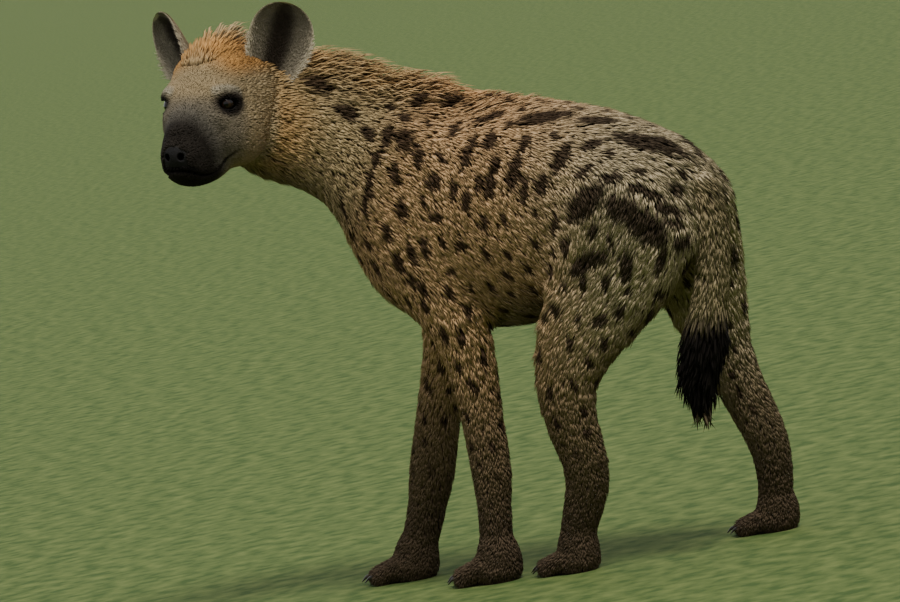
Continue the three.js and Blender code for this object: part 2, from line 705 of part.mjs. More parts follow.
// An ear is a cupped sheet with a round tip. Its two faces share one grid.
function ear(name, side) {
  const out = vec([0, side, 0]);
  const up = vec([EAR.lean_back[name], side * Math.sin(radians(EAR.splay[name])), 1]).normalize();
  const turned = radians(EAR.turn[name]);
  const facing = vec([Math.cos(turned), side * Math.sin(turned), 0]);
  facing.addScaledVector(up, -facing.dot(up)).normalize();
  const across = up.clone().cross(facing);
  const base = vec([EAR.base[0], side * EAR.base[1], EAR.base[2]]);
  const at = (s, t, face) => {
    const along = s < EAR.widest ? (EAR.widest - s) / EAR.widest : (s - EAR.widest) / (1 - EAR.widest);
    const round = s < EAR.widest ? 1 - EAR.root_taper * along ** 2 : Math.sqrt(Math.max(1 - along ** 2.3, 0));
    const half = EAR.half_width * round;
    const cup = EAR.cup * (1 - 0.55 * s) * (1 - t * t) * Math.min(round * 1.4, 1);
    const thick = EAR.thick * (1 - t * t) * Math.min(round * 1.5, 1) * (1.6 - s);
    const p = base.clone().addScaledVector(up, EAR.length * s).addScaledVector(across, half * t);
    p.addScaledVector(facing, -cup + face * thick * 0.5 + EAR.curl * s * s);
    return p.addScaledVector(out, EAR.bow * Math.sin(Math.PI * s));
  };
  const positions = [];
  const rows = EAR.rows;
  const columns = EAR.columns;
  const front = [];
  const back = [];
  for (let i = 0; i <= rows; i++)
    for (let j = 0; j <= columns; j++) {
      const s = Math.sin(((i / rows) * Math.PI) / 2) * 0.999;
      const t = -1 + (2 * j) / columns;
      front.push(positions.length / 3);
      positions.push(...at(s, t, 1).toArray());
      if (j === 0 || j === columns) back.push(front.at(-1));
      else {
        back.push(positions.length / 3);
        positions.push(...at(s, t, -1).toArray());
      }
    }
  const triangles = [];
  const w = columns + 1;
  for (let i = 0; i < rows; i++)
    for (let j = 0; j < columns; j++) {
      const [a, b, c, d] = [i * w + j, i * w + j + 1, (i + 1) * w + j + 1, (i + 1) * w + j];
      triangles.push(front[a], front[b], front[c], front[a], front[c], front[d]);
      triangles.push(back[a], back[c], back[b], back[a], back[d], back[c]);
    }
  for (const [row, flip] of [[0, true], [rows, false]])
    for (let j = 0; j < columns; j++) {
      const [a, b] = [row * w + j, row * w + j + 1];
      const quad = [front[a], front[b], back[b], back[a]];
      const order = flip ? [0, 3, 2, 0, 2, 1] : [0, 1, 2, 0, 2, 3];
      for (let k = 0; k < 6; k += 3) {
        const tri = order.slice(k, k + 3).map((q) => quad[q]);
        if (new Set(tri).size === 3) triangles.push(...tri);
      }
    }
  const g = new THREE.BufferGeometry();
  g.setAttribute("position", new THREE.Float32BufferAttribute(positions, 3));
  return solid(g.setIndex(triangles).applyMatrix4(headMatrix));
}
const neckGrown = keepPast(neckLoose, HEAD_CUT, -1);
const steps = [[GAP, 0, 0], [-GAP, 0, 0], [0, GAP, 0], [0, -GAP, 0], [0, 0, GAP], [0, 0, -GAP]];
const maneGrown = join(steps.map((step) => mane.translate(step)));
for (const [name, side] of Object.entries(sides)) {
  const clear = ear(name, side).subtract(headGrown).subtract(neckGrown).subtract(maneGrown);
  meshes.set(`ear_${name}`, largest(clear));
}

// The tail hangs from the rump.
const [tail] = fieldSolids(tailField, ...TAIL_SPAN, CELL.tail);
meshes.set("tail", largest(tail.add(brushLocks()).subtract(torsoGrown)));

// A claw is a bent cone from a socket in the toe to a blunt point.
function claw(toe, paw, grow) {
  const place = (x, y, z) =>
    vec([x, y, z]).applyAxisAngle(vec([0, 0, 1]), radians(paw.turn)).multiplyScalar(paw.size)
      .add(vec([...paw.at, 0]));
  const x = toe.x * 1.1;
  const root = place(x, toe.tip - toe.r + CLAW.sunk + grow, CLAW.height);
  const bend = place(x, toe.tip - toe.r - CLAW.length * 0.4, CLAW.height + 1);
  const end = place(x, toe.tip - toe.r - CLAW.length, CLAW.height - CLAW.drop);
  const rings = [[root, 1], [bend, 0.85], [end, 0.25]].map(([p, r]) => [p, CLAW.radius * r + grow * 1.2]);
  const positions = [];
  for (const [centre, r] of rings)
    for (let i = 0; i < CLAW.around; i++) {
      const a = (i / CLAW.around) * Math.PI * 2;
      positions.push(centre.x + r * 0.8 * Math.cos(a), centre.y, centre.z + r * Math.sin(a));
    }
  const triangles = [];
  for (let k = 0; k < rings.length - 1; k++)
    for (let i = 0; i < CLAW.around; i++) {
      const j = (i + 1) % CLAW.around;
      const [here, next] = [k * CLAW.around, (k + 1) * CLAW.around];
      triangles.push(here + i, here + j, next + j, here + i, next + j, next + i);
    }
  const last = (rings.length - 1) * CLAW.around;
  for (let i = 1; i < CLAW.around - 1; i++) triangles.push(0, i + 1, i, last, last + i, last + i + 1);
  const g = new THREE.BufferGeometry();
  g.setAttribute("position", new THREE.Float32BufferAttribute(positions, 3));
  return solid(g.setIndex(triangles));
}

// Each leg, from its box down to the paw, and the paw with its claws.
for (const name of legNames) {
  const { centre, size } = LEG[name].box;
  const lo = centre.map((v, i) => v - size[i] / 2 - CELL.leg * 2);
  const hi = centre.map((v, i) => v + size[i] / 2 + CELL.leg * 2);
  lo[2] = -CELL.leg;
  const [whole] = fieldSolids(body, lo, hi, CELL.leg);
  const leg = whole.intersect(legBox(name, 0)).trimByPlane([0, 0, 1], PAW_TOP + GAP / 2);
  meshes.set(`leg_${name}`, largest(leg));
  const [px, py] = LEG[name].paw.at;
  const pawLow = [px - PAW_SPAN.side, py - PAW_SPAN.front, -12];
  const pawHigh = [px + PAW_SPAN.side, py + PAW_SPAN.back, PAW_TOP + 20];
  const [pawWhole] = fieldSolids(body, pawLow, pawHigh, CELL.paw);
  let paw = onFloor(pawWhole).trimByPlane([0, 0, -1], GAP / 2 - PAW_TOP);
  TOES.forEach((toe, i) => {
    paw = paw.subtract(claw(toe, LEG[name].paw, GAP));
    meshes.set(`claw_${name}_${i + 1}`, claw(toe, LEG[name].paw, 0));
  });
  meshes.set(`paw_${name}`, largest(paw));
}

const COLOUR = { eye: 0x20150c, claw: 0x2a2622, coat: 0x9a8560 };
const hyena = new THREE.Group();
let total = 0;
for (const [name, made] of meshes) {
  const colour = COLOUR[name.split("_")[0]] ?? COLOUR.coat;
  const roughness = colour === COLOUR.coat ? 0.9 : 0.3;
  const material = new THREE.MeshStandardMaterial({ color: colour, roughness });
  const mesh = new THREE.Mesh(geometryOf(made), material);
  mesh.name = name;
  hyena.add(mesh);
  total += made.numTri();
}

// The floor stays at z = 0 and the middle of the whole model comes over the origin.
const bounds = new THREE.Box3().setFromObject(hyena);
const middleOf = bounds.getCenter(new THREE.Vector3());
const model = new THREE.Group();
hyena.position.set(-middleOf.x, -middleOf.y, 0);
model.add(hyena);
console.log("triangles", total, "shift", hyena.position.toArray(), "lowest", bounds.min.z);

export default model;
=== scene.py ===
"""The looks of a life-size spotted hyena that stands in mid-step and looks back over its left shoulder.

One skin is grown from the solids' named sizes, except that its eyelids are thinner and open wider, and a
coat of fine solid tufts lies over it.
Sizes are in millimetres in the animal's own frame (the body points along -Y, its left side is +X) until
they are moved into the row frame, in metres.
"""

import math

import bpy
import numpy as np
from mathutils import Matrix, Vector


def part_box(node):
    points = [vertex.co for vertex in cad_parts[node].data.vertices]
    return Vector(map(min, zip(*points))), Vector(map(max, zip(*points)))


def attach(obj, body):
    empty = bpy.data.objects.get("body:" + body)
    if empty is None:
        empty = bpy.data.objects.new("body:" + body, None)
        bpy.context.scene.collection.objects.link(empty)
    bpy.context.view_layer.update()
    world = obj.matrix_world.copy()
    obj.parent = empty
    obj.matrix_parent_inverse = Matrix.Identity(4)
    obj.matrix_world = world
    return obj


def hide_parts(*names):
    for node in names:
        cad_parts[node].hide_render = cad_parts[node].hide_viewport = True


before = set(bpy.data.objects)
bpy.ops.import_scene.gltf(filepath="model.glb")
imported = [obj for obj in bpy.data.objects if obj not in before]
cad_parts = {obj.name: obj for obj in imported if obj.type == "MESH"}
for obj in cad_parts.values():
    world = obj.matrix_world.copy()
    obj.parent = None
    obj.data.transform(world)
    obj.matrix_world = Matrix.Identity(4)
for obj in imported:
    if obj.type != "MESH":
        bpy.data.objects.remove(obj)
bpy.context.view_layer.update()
rng = np.random.default_rng(7)

# The body, shared with the solids. Stations are x, y, z, half width across, half depth.
TORSO = [
    [26, -42, 546, 62, 84], [27, -16, 562, 92, 126], [26, 10, 564, 112, 164], [22, 70, 560, 124, 178],
    [16, 140, 556, 130, 179], [10, 215, 554, 132, 170], [4, 290, 554, 124, 148], [0, 350, 550, 112, 124],
    [-3, 398, 538, 100, 106], [-5, 418, 520, 74, 82],
]
NECK = [
    [116, -246, 792, 74, 74], [88, -244, 778, 80, 84], [60, -214, 752, 86, 92], [42, -160, 730, 92, 98],
    [32, -98, 698, 100, 106], [27, -26, 654, 106, 122],
]
LEGS = {
    "front_left": [
        [84, -12, 592, 44, 70], [92, 28, 500, 46, 72], [98, 72, 410, 42, 56], [101, 86, 340, 33, 44],
        [108, 92, 250, 27, 35], [114, 95, 168, 26, 32], [117, 91, 120, 23, 27], [119, 84, 62, 22, 26],
        [120, 76, 34, 22, 26],
    ],
    "front_right": [
        [-40, -18, 580, 44, 64], [-44, -18, 490, 46, 62], [-40, -28, 410, 42, 54], [-34, -46, 345, 33, 43],
        [-22, -76, 250, 29, 38], [-12, -100, 168, 29, 38], [-8, -116, 120, 26, 32], [-4, -138, 68, 24, 29],
        [-2, -156, 38, 24, 27],
    ],
    "hind_left": [
        [62, 408, 520, 62, 104], [84, 352, 440, 58, 102], [104, 292, 362, 46, 76], [116, 262, 296, 37, 54],
        [116, 258, 230, 31, 43], [110, 264, 172, 28, 38], [104, 256, 128, 26, 35], [101, 232, 80, 24, 29],
        [100, 216, 42, 23, 26],
    ],
    "hind_right": [
        [-64, 400, 524, 60, 90], [-82, 400, 440, 57, 90], [-96, 404, 362, 46, 72], [-102, 412, 296, 36, 52],
        [-104, 432, 230, 29, 40], [-106, 452, 172, 27, 36], [-110, 460, 128, 24, 33], [-115, 456, 80, 23, 28],
        [-118, 446, 42, 22, 25],
    ],
}
# Paws: x, y, turn in degrees, size. Toes: across, root, tip, radius.
PAWS = {
    "front_left": [120, 68, -4, 1.06], "front_right": [-1, -170, 4, 1.06],
    "hind_left": [100, 204, -3, 0.95], "hind_right": [-119, 434, 3, 0.95],
}
TOES = [[-25, -4, -34, 13.5], [-9, -14, -48, 14.5], [9, -14, -48, 14.5], [25, -4, -34, 13.5]]
TOE_HEIGHT = 15
TAIL = [
    [0, 455, 574, 26, 26], [5, 489, 550, 25, 25], [12, 503, 506, 26, 25], [26, 500, 430, 28, 25],
    [42, 480, 345, 31, 28], [48, 460, 285, 27, 25], [49, 455, 245, 17, 16],
]
MUSCLES = [
    [[86, 8, 590], [50, 78, 128], -18], [[-36, -22, 590], [50, 78, 128], -18],
    [[68, 378, 508], [60, 86, 112], 24], [[-70, 386, 508], [60, 86, 112], 14],
]
BLEND = {"muscle": 45, "neck": 60, "head": 26, "leg": 34, "toe": 5}
CREST = [
    [206, -236, 864], [158, -240, 878], [118, -246, 880], [84, -240, 866], [56, -208, 842], [42, -150, 818],
    [32, -84, 790], [28, -10, 762], [26, 60, 740], [20, 130, 735], [16, 190, 730],
]

# The head, in its own frame: forward, left, up from the middle between the eyes.
EYE_MIDDLE = np.array([240.0, -232.0, 804.0])
HEAD_YAW = math.radians(11)
HEAD_ROLL = math.radians(7)
SKULL = [
    [-140, 0, 4, 60, 66], [-105, 0, -2, 69, 80], [-65, 0, -12, 73, 87], [-25, 0, -30, 64, 80],
    [8, 0, -45, 49, 66], [36, 0, -59, 41, 54], [58, 0, -68, 36, 45], [76, 0, -75, 30, 35],
]
FACE = [
    [[-54, 44, -44], [54, 34, 50], 26], [[-12, 38, 18], [27, 21, 13], 16],
    [[56, 17, -88], [28, 15, 19], 12], [[12, 34, -19], [24, 15, 16], 12],
]
MIDLINE = [
    [[83, 0, -65], [22, 21, 19], 12], [[93, 0, -67], [14, 19, 16], 6],
    [[47, 0, -100], [32, 21, 14], 12], [[44, 0, -34], [48, 19, 15], 16], [[12, 0, -95], [54, 34, 23], 16],
    [[-66, 0, 42], [56, 54, 36], 26],
]
ORBIT = [[16, 60, 2], [18, 14, 13]]
EYE_AT = np.array([-1.0, 46.0, 1.0])
EYE_RADIUS = 13.5
EYE_LOOK = np.array([0.84, 0.52, 0.05])
LID = {"thick": 2.6, "reach": 18, "half_length": 16.5, "half_height": 9.6}
NOSTRIL = [[100, 10.5, -69], [10, 4.2, 5.2]]
MOUTH = [
    [100, 0, -88], [92, 18, -92], [72, 30, -99], [46, 38, -102], [22, 44, -97], [6, 48, -86], [-6, 52, -72],
]
EAR = {
    "base": [-112, 73, 25], "length": 126, "half_width": 51, "thick": 7, "cup": 34, "curl": 12, "bow": 3,
    "widest": 0.56, "root_taper": 0.42, "splay": {1: 15, -1: 29}, "turn": {1: 28, -1: 46},
    "lean_back": {1: -0.12, -1: -0.4},
}
CLAW = {"radius": 4.2, "length": 17, "drop": 6, "sunk": 9, "height": 12}

# The camera: where it looks from, and how large a metre is in the 900 x 602 picture.
CAMERA = {"azimuth": 124, "elevation": 4, "roll": 10.5, "distance": 9.0, "pixels_per_metre": 640,
          "target": [0.0, 0.0, 0.43]}
PICTURE = (900, 602)
SENSOR = 36.0

# The grid step of the skin in millimetres, the tufts on the body and on each ear, the long tufts in one
# piece of coat, and the width of a tuft's patch on the UV map.
CELL = 5.0
TUFTS = 137000
EAR_TUFTS = 5200
PIECE_TUFTS = 12500
PATCH = 0.003
# How many skin points the seeded spots are drawn from, and the step that normals are measured over.
SPOT_SAMPLES = 60000
NORMAL_STEP = 1.5


# Curves and fields.
class Spline:
    """A centripetal Catmull-Rom curve through its points, from 0 to 1."""

    def __init__(self, points):
        self.p = np.array(points, float)

    def at(self, t):
        p, n = self.p, len(self.p)
        place = min(max(t, 0.0), 1.0) * (n - 1)
        i = min(int(place), n - 2)
        w = place - i
        a = p[i - 1] if i > 0 else 2 * p[0] - p[1]
        b, c = p[i], p[i + 1]
        d = p[i + 2] if i + 2 < n else 2 * p[-1] - p[-2]
        span = [max(np.sum((v - u) ** 2), 1e-12) ** 0.25 for u, v in ((a, b), (b, c), (c, d))]
        t1 = ((b - a) / span[0] - (c - a) / (span[0] + span[1]) + (c - b) / span[1]) * span[1]
        t2 = ((c - b) / span[1] - (d - b) / (span[1] + span[2]) + (d - c) / span[2]) * span[1]
        return b + t1 * w + (3 * (c - b) - 2 * t1 - t2) * w * w + (2 * (b - c) + t1 + t2) * w**3

    def tangent(self, t, step=1e-4):
        d = self.at(min(t + step, 1)) - self.at(max(t - step, 0))
        return d / np.linalg.norm(d)


def smooth_min(a, b, k):
    h = np.maximum(k - np.abs(a - b), 0) / k
    return np.minimum(a, b) - 0.25 * h * h * k


def smooth_max(a, b, k):
    return -smooth_min(-a, -b, k)


def ease(x, low, high):
    t = np.clip((x - low) / (high - low), 0, 1)
    return t * t * (3 - 2 * t)


def norm(v):
    return np.linalg.norm(v, axis=1)


def unit(v):
    return v / (norm(v)[:, None] + 1e-9)


def ebb(x, low, high):
    """1 up to low, falling smoothly to 0 at high."""
    return 1 - ease(x, low, high)


def ellipsoid(p, centre, radii, turn=0):
    d = p - np.array(centre, float)
    if turn:
        c, s = math.cos(math.radians(turn)), math.sin(math.radians(turn))
        d = np.stack([d[:, 0], c * d[:, 1] + s * d[:, 2], c * d[:, 2] - s * d[:, 1]], 1)
    r = np.array(radii, float)
    k0 = norm(d / r)
    k1 = norm(d / (r * r)) + 1e-9
    return k0 * (k0 - 1) / k1


class Loft:
    """A tube of changing elliptical section along a smooth path."""

    def __init__(self, stations, side, steps=3):
        line, size = Spline([s[:3] for s in stations]), Spline([s[3:] for s in stations])
        count = (len(stations) - 1) * steps
        self.count = count
        ts = [i / count for i in range(count + 1)]
        self.p = np.array([line.at(t) for t in ts])
        self.tangent = np.array([line.tangent(t) for t in ts])
        side = np.array(side, float)
        across = side - self.tangent * (self.tangent @ side)[:, None]
        self.across = across / norm(across)[:, None]
        self.depth = np.cross(self.tangent, self.across)
        self.size = np.array([size.at(t) for t in ts])
        self.low = self.p.min(0)
        self.high = self.p.max(0)
        self.reach = self.size.max()

    def far(self, p):
        gap = np.maximum(np.maximum(self.low - p, p - self.high), 0)
        return norm(gap) - self.reach

    def near(self, p):
        """The field, and where each point lies: along the path, and round it."""
        best = np.full(len(p), np.inf)
        place = np.zeros((len(p), 2))
        lie = np.zeros((len(p), 3))
        for i in range(self.count):
            edge = self.p[i + 1] - self.p[i]
            r = p - self.p[i]
            t = np.clip(r @ edge / (edge @ edge), 0, 1)
            q = r - t[:, None] * edge
            w, h = (self.size[i] + t[:, None] * (self.size[i + 1] - self.size[i])).T
            m = np.minimum(w, h)

            def part(axis):
                return q @ axis[i] + t * (q @ (axis[i + 1] - axis[i]))

            u, v, a = part(self.across) / w, part(self.depth) / h, part(self.tangent) / m
            d = (np.sqrt(u * u + v * v + a * a) - 1) * m
            closer = d < best
            best[closer] = d[closer]
            place[closer, 0] = ((i + t) / self.count)[closer]
            place[closer, 1] = np.arctan2(v, u)[closer]
            lie[closer] = (self.tangent[i] + t[:, None] * (self.tangent[i + 1] - self.tangent[i]))[closer]
        return best, place, lie

    def __call__(self, p):
        out = self.far(p)
        close = out <= 80
        if close.any():
            out[close] = self.near(p[close])[0]
        return out


nose_axis = np.array([math.cos(HEAD_YAW), math.sin(HEAD_YAW), 0.0])
flat_left = np.cross([0, 0, 1.0], nose_axis)
left_axis = flat_left * math.cos(HEAD_ROLL) - np.array([0, 0, 1.0]) * math.sin(HEAD_ROLL)
crown_axis = np.array([0, 0, 1.0]) * math.cos(HEAD_ROLL) + flat_left * math.sin(HEAD_ROLL)
HEAD_AXES = np.array([nose_axis, left_axis, crown_axis])


def to_head(p):
    return (p - EYE_MIDDLE) @ HEAD_AXES.T


def from_head(p):
    return np.asarray(p, float) @ HEAD_AXES + EYE_MIDDLE


torso = Loft(TORSO, [1, 0, 0])
neck = Loft(NECK, [0.55, 0.8, 0])
skull = Loft(SKULL, [0, 1, 0])
tail = Loft(TAIL, [1, 0, 0])
legs = {name: Loft(path, [1, 0, 0], 2) for name, path in LEGS.items()}


def fold(p):
    """The point with its left-right part made positive: the face is the same on both sides."""
    return np.stack([p[:, 0], np.abs(p[:, 1]), p[:, 2]], 1)


def head_local(q):
    d = skull(q)
    out = fold(q)
    for centre, radii, k in FACE:
        d = smooth_min(d, ellipsoid(out, centre, radii), k)
    for centre, radii, k in MIDLINE:
        d = smooth_min(d, ellipsoid(q, centre, radii), k)
    return smooth_max(d, -ellipsoid(out, *ORBIT), 8)


mouth_line = Spline(MOUTH)
MOUTH_POINTS = np.array([mouth_line.at(i / 40) for i in range(41)])


def nearest_on(points, p):
    """How far each point is from a line of points, and where along that line it is nearest, from 0 to 1."""
    best, along = np.full(len(p), np.inf), np.zeros(len(p))
    for i, (a, b) in enumerate(zip(points[:-1], points[1:])):
        e = b - a
        t = np.clip((p - a) @ e / (e @ e), 0, 1)
        d = norm(p - a - t[:, None] * e)
        closer = d < best
        best[closer] = d[closer]
        along[closer] = ((i + t) / (len(points) - 1))[closer]
    return best, along


def lip_distance(out):
    """How far above or below the line between the lips; far away behind the corner of the mouth."""
    up = np.interp(-out[:, 0], -MOUTH_POINTS[:, 0], MOUTH_POINTS[:, 2])
    behind = np.maximum(MOUTH_POINTS[-1, 0] - out[:, 0], 0)
    return np.hypot(out[:, 2] - up, behind)


def look_frame():
    look = EYE_LOOK / np.linalg.norm(EYE_LOOK)
    side = np.cross([0, 0, 1.0], look)
    side /= np.linalg.norm(side)
    return np.array([look, side, np.cross(look, side)])


LOOK = look_frame()
MOUTH_HALF = 1.7
MOUTH_DEPTH = 6.0
BROW = np.array([[16, 36, 15], [4, 52, 17], [-12, 60, 10]])
# The face's colours: the shape of the dark ring round the eye, the dark patch towards the nose (its place
# from the eye and its shape), and the cheek. The tail's colours start below its top.
EYE_RING = [1.25, 1.25, 0.95]
INNER_PATCH = ([12, -12, -5], [1.0, 1.1, 0.75])
CHEEK = [-95, 78, -50]
TAIL_TOP = 560


def face_details(q, d):
    """Lids, eye sockets, nostrils and the mouth line, cut into the head's field."""
    out = fold(q)
    lid = norm(out - EYE_AT) - EYE_RADIUS - LID["thick"]
    d = smooth_min(d, lid, 9)
    opening = EYE_AT + LOOK[0] * LID["reach"]
    local = (out - opening) @ LOOK.T
    slit = ellipsoid(local, [0, 0, 0], [LID["reach"], LID["half_length"], LID["half_height"]])
    d = smooth_max(d, -slit, 1.5)
    d = np.maximum(d, EYE_RADIUS + 0.2 - norm(out - EYE_AT))
    d = smooth_max(d, -ellipsoid(out, *NOSTRIL), 2)
    d = smooth_max(d, np.minimum(MOUTH_HALF - lip_distance(out), d + MOUTH_DEPTH), 1.5)
    brow = nearest_on(BROW, out)[0] - 3
    return smooth_min(d, brow, 8)


def paw(p, name):
    x, y, turn, size = PAWS[name]
    d = (p - np.array([x, y, 0])) / size
    far = norm(d)
    out = far * size - 90
    close = far <= 160
    if not close.any():
        return out
    c, s = math.cos(math.radians(turn)), math.sin(math.radians(turn))
    q = d[close]
    q = np.stack([c * q[:, 0] + s * q[:, 1], c * q[:, 1] - s * q[:, 0], q[:, 2]], 1)
    best = smooth_min(ellipsoid(q, [0, 8, 17], [33, 34, 24]), ellipsoid(q, [0, 18, 34], [27, 30, 34]), 14)
    toes = np.full(len(q), np.inf)
    for tx, root, tip, r in TOES:
        a, b = np.array([tx * 0.8, root, TOE_HEIGHT + 8]), np.array([tx * 1.08, tip, TOE_HEIGHT - 3])
        e = b - a
        t = np.clip((q - a) @ e / (e @ e), 0, 1)
        toe = norm(q - a - t[:, None] * e) - r - 1 + t
        toes = smooth_min(toes, toe, BLEND["toe"]) if np.isfinite(toes).any() else toe
    out[close] = smooth_min(best, toes, 10) * size
    return out


def body(p, details=False):
    d = torso(p)
    for centre, radii, turn in MUSCLES:
        d = smooth_min(d, ellipsoid(p, centre, radii, turn), BLEND["muscle"])
    d = smooth_min(d, neck(p), BLEND["neck"])
    q = to_head(p)
    h = head_local(q)
    if details:
        near = h < 30
        h[near] = face_details(q[near], h[near])
    d = smooth_min(d, h, BLEND["head"])
    for name, leg in legs.items():
        d = smooth_min(d, smooth_min(leg(p), paw(p, name), 14), BLEND["leg"])
    return smooth_min(d, tail(p), 12)


def slope(field, p, step=1.0):
    out = np.empty_like(p)
    for axis in range(3):
        e = np.zeros(3)
        e[axis] = step
        out[:, axis] = (field(p + e) - field(p - e)) / (2 * step)
    return out


# How deep the coat is, in millimetres, by place.
DEPTH = {"body": 10.0, "less_on_legs": 5.5, "less_on_feet": 2.0, "head": 4.0, "less_on_face": 3.2,
         "tail": 7.0}
crest_line = Spline(CREST)
CREST_POINTS = np.array([crest_line.at(i / 60) for i in range(61)])


def mane_amount(p):
    """1 on the crest of the neck, fading to the sides and down the back."""
    best, along = nearest_on(CREST_POINTS, p)
    spread = 20 + 16 * ease(along, 0.2, 0.42)
    fade = (1 - 0.85 * ease(along, 0.69, 1.0)) * (0.55 + 0.45 * ease(along, 0, 0.12))
    return np.exp(-((best / spread) ** 2)) * fade


def brush_amount(p):
    return ease(-p[:, 2], -400, -330) * (np.exp(-np.maximum(tail(p) + 12, 0) / 12))


def on_the_head(q, start, end):
    """1 on the head, falling to 0 between two distances from it and towards the neck."""
    return ebb(head_local(q), start, end) * ease(q[:, 0], -150, -100)


def coat_depth(p):
    q = to_head(p)
    head = on_the_head(q, 4, 24)
    depth = DEPTH["body"] - DEPTH["less_on_legs"] * ebb(p[:, 2], 170, 420)
    depth = depth - DEPTH["less_on_feet"] * ebb(p[:, 2], 40, 110)
    depth = depth * (1 - head) + head * (DEPTH["head"] - DEPTH["less_on_face"] * ease(q[:, 0], -80, 10))
    return np.where(tail(p) < body_without_tail(p), DEPTH["tail"], depth)


def body_without_tail(p):
    d = torso(p)
    for name in ("hind_left", "hind_right"):
        d = smooth_min(d, legs[name](p), BLEND["leg"])
    return d


def skin_field(p):
    return body(p, True) + coat_depth(p)


# A grid is halved only where the field is below this many of its steps.
NEAR_SURFACE = 1.9


def grown(field, low, high, cell):
    """A closed mesh from a field: a vertex in each crossed cell, a quad round each crossed edge."""
    shape = [int(math.ceil((h - l) / (cell * 4))) * 4 + 1 for l, h in zip(low, high)]
    low = np.array(low, float)

    def points(index, step=1):
        return low + np.stack(index, 1) * cell * step

    coarse_shape = [(n - 1) // 4 + 1 for n in shape]
    index = np.indices(coarse_shape).reshape(3, -1)
    coarse = field(points(index, 4)).reshape(coarse_shape)
    middle_shape = [(n - 1) // 2 + 1 for n in shape]

    def refine(values, new_shape, band, step):
        index = np.indices(new_shape)
        nearest = [np.minimum((index[a] + 1) // 2, values.shape[a] - 1) for a in range(3)]
        fine = values[tuple(nearest)].astype(float)
        where = np.nonzero(np.abs(fine) < band)
        fine[where] = field(points(where, step))
        return fine

    middle = refine(coarse, middle_shape, cell * 4 * NEAR_SURFACE, 2)
    value = refine(middle, shape, cell * 2 * NEAR_SURFACE, 1)
    inside = value < 0
    corners = [(c & 1, (c >> 1) & 1, (c >> 2) & 1) for c in range(8)]
    n = [s - 1 for s in shape]
    total = np.zeros(n, int)
    for a, b, c in corners:
        total += inside[a : a + n[0], b : b + n[1], c : c + n[2]]
    cells = np.nonzero((total > 0) & (total < 8))
    vertex = np.full(n, -1)
    vertex[cells] = np.arange(len(cells[0]))
    corner_values = [value[cells[0] + a, cells[1] + b, cells[2] + c] for a, b, c in corners]
    place = np.zeros((len(cells[0]), 3))
    crossed = np.zeros(len(cells[0]))
    for i in range(8):
        for j in range(i + 1, 8):
            if (i ^ j) not in (1, 2, 4):
                continue
            va, vb = corner_values[i], corner_values[j]
            cut = (va < 0) != (vb < 0)
            t = np.where(cut, va / np.where(cut, va - vb, 1), 0)
            a, b = np.array(corners[i], float), np.array(corners[j], float)
            place += np.where(cut[:, None], a + t[:, None] * (b - a), 0)
            crossed += cut
    verts = low + (np.stack(cells, 1) + place / crossed[:, None]) * cell
    quads = []
    for axis in range(3):
        u, v = (axis + 1) % 3, (axis + 2) % 3
        first = [slice(None)] * 3
        second = [slice(None)] * 3
        first[axis], second[axis] = slice(0, -1), slice(1, None)
        change = inside[tuple(first)] != inside[tuple(second)]
        edge = np.array(np.nonzero(change))
        keep = (edge[u] > 0) & (edge[v] > 0) & (edge[u] < n[u]) & (edge[v] < n[v]) & (edge[axis] < n[axis])
        edge = edge[:, keep]
        ring = []
        for du, dv in ((0, 0), (1, 0), (1, 1), (0, 1)):
            e = edge.copy()
            e[u] -= du
            e[v] -= dv
            ring.append(vertex[tuple(e)])
        q = np.stack(ring, 1)
        starts_inside = inside[tuple(edge)]
        q[~starts_inside] = q[~starts_inside][:, ::-1]
        quads.append(q)
    return verts, np.concatenate(quads)


def settle(field, p, rounds, reach):
    """Moves points on to the surface, and leaves those that would go further than reach."""
    start = p.copy()
    for _ in range(rounds):
        g = slope(field, p, 0.6)
        p = p + g * (-field(p) / np.maximum((g * g).sum(1), 0.2))[:, None]
    far = norm(p - start) > reach
    p[far] = start[far]
    return p


def refine_faces(verts, quads, chosen):
    """Cuts the chosen faces in four; their neighbours take the new edge points as well."""
    faces = [list(q) for q in quads]
    cut = set(np.nonzero(chosen)[0].tolist())
    middles = {}
    new = []

    def middle(a, b):
        key = (min(a, b), max(a, b))
        if key not in middles:
            middles[key] = len(verts) + len(new)
            new.append((verts[a] + verts[b]) / 2)
        return middles[key]

    for i in cut:
        f = faces[i]
        for a, b in zip(f, f[1:] + f[:1]):
            middle(a, b)
    out = []
    for i, f in enumerate(faces):
        ring = []
        for a, b in zip(f, f[1:] + f[:1]):
            ring.append(a)
            key = (min(a, b), max(a, b))
            if key in middles:
                ring.append(middles[key])
        if i not in cut or len(f) != 4 or len(ring) != 8:
            out.append(ring)
            continue
        centre = len(verts) + len(new)
        new.append(sum(verts[v] for v in f) / 4)
        for k in range(0, 8, 2):
            out.append([ring[k], ring[k + 1], centre, ring[k - 1]])
    return np.concatenate([verts, np.array(new).reshape(-1, 3)]), out


# From the animal's frame to the row frame.
eye_box = np.array(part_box("eye_left"))
SHIFT = eye_box.mean(0) - from_head(EYE_AT) / 1000


def to_row(p):
    return np.asarray(p) / 1000 + SHIFT


def linked(name, data):
    """A new object in the scene that holds the given mesh, light or camera."""
    obj = bpy.data.objects.new(name, data)
    bpy.context.scene.collection.objects.link(obj)
    return obj


def mesh_object(name, verts, faces):
    mesh = bpy.data.meshes.new(name)
    mesh.from_pydata(to_row(verts).tolist(), [], [list(f) for f in faces])
    mesh.polygons.foreach_set("use_smooth", np.full(len(mesh.polygons), True))
    mesh.update()
    return linked(name, mesh)


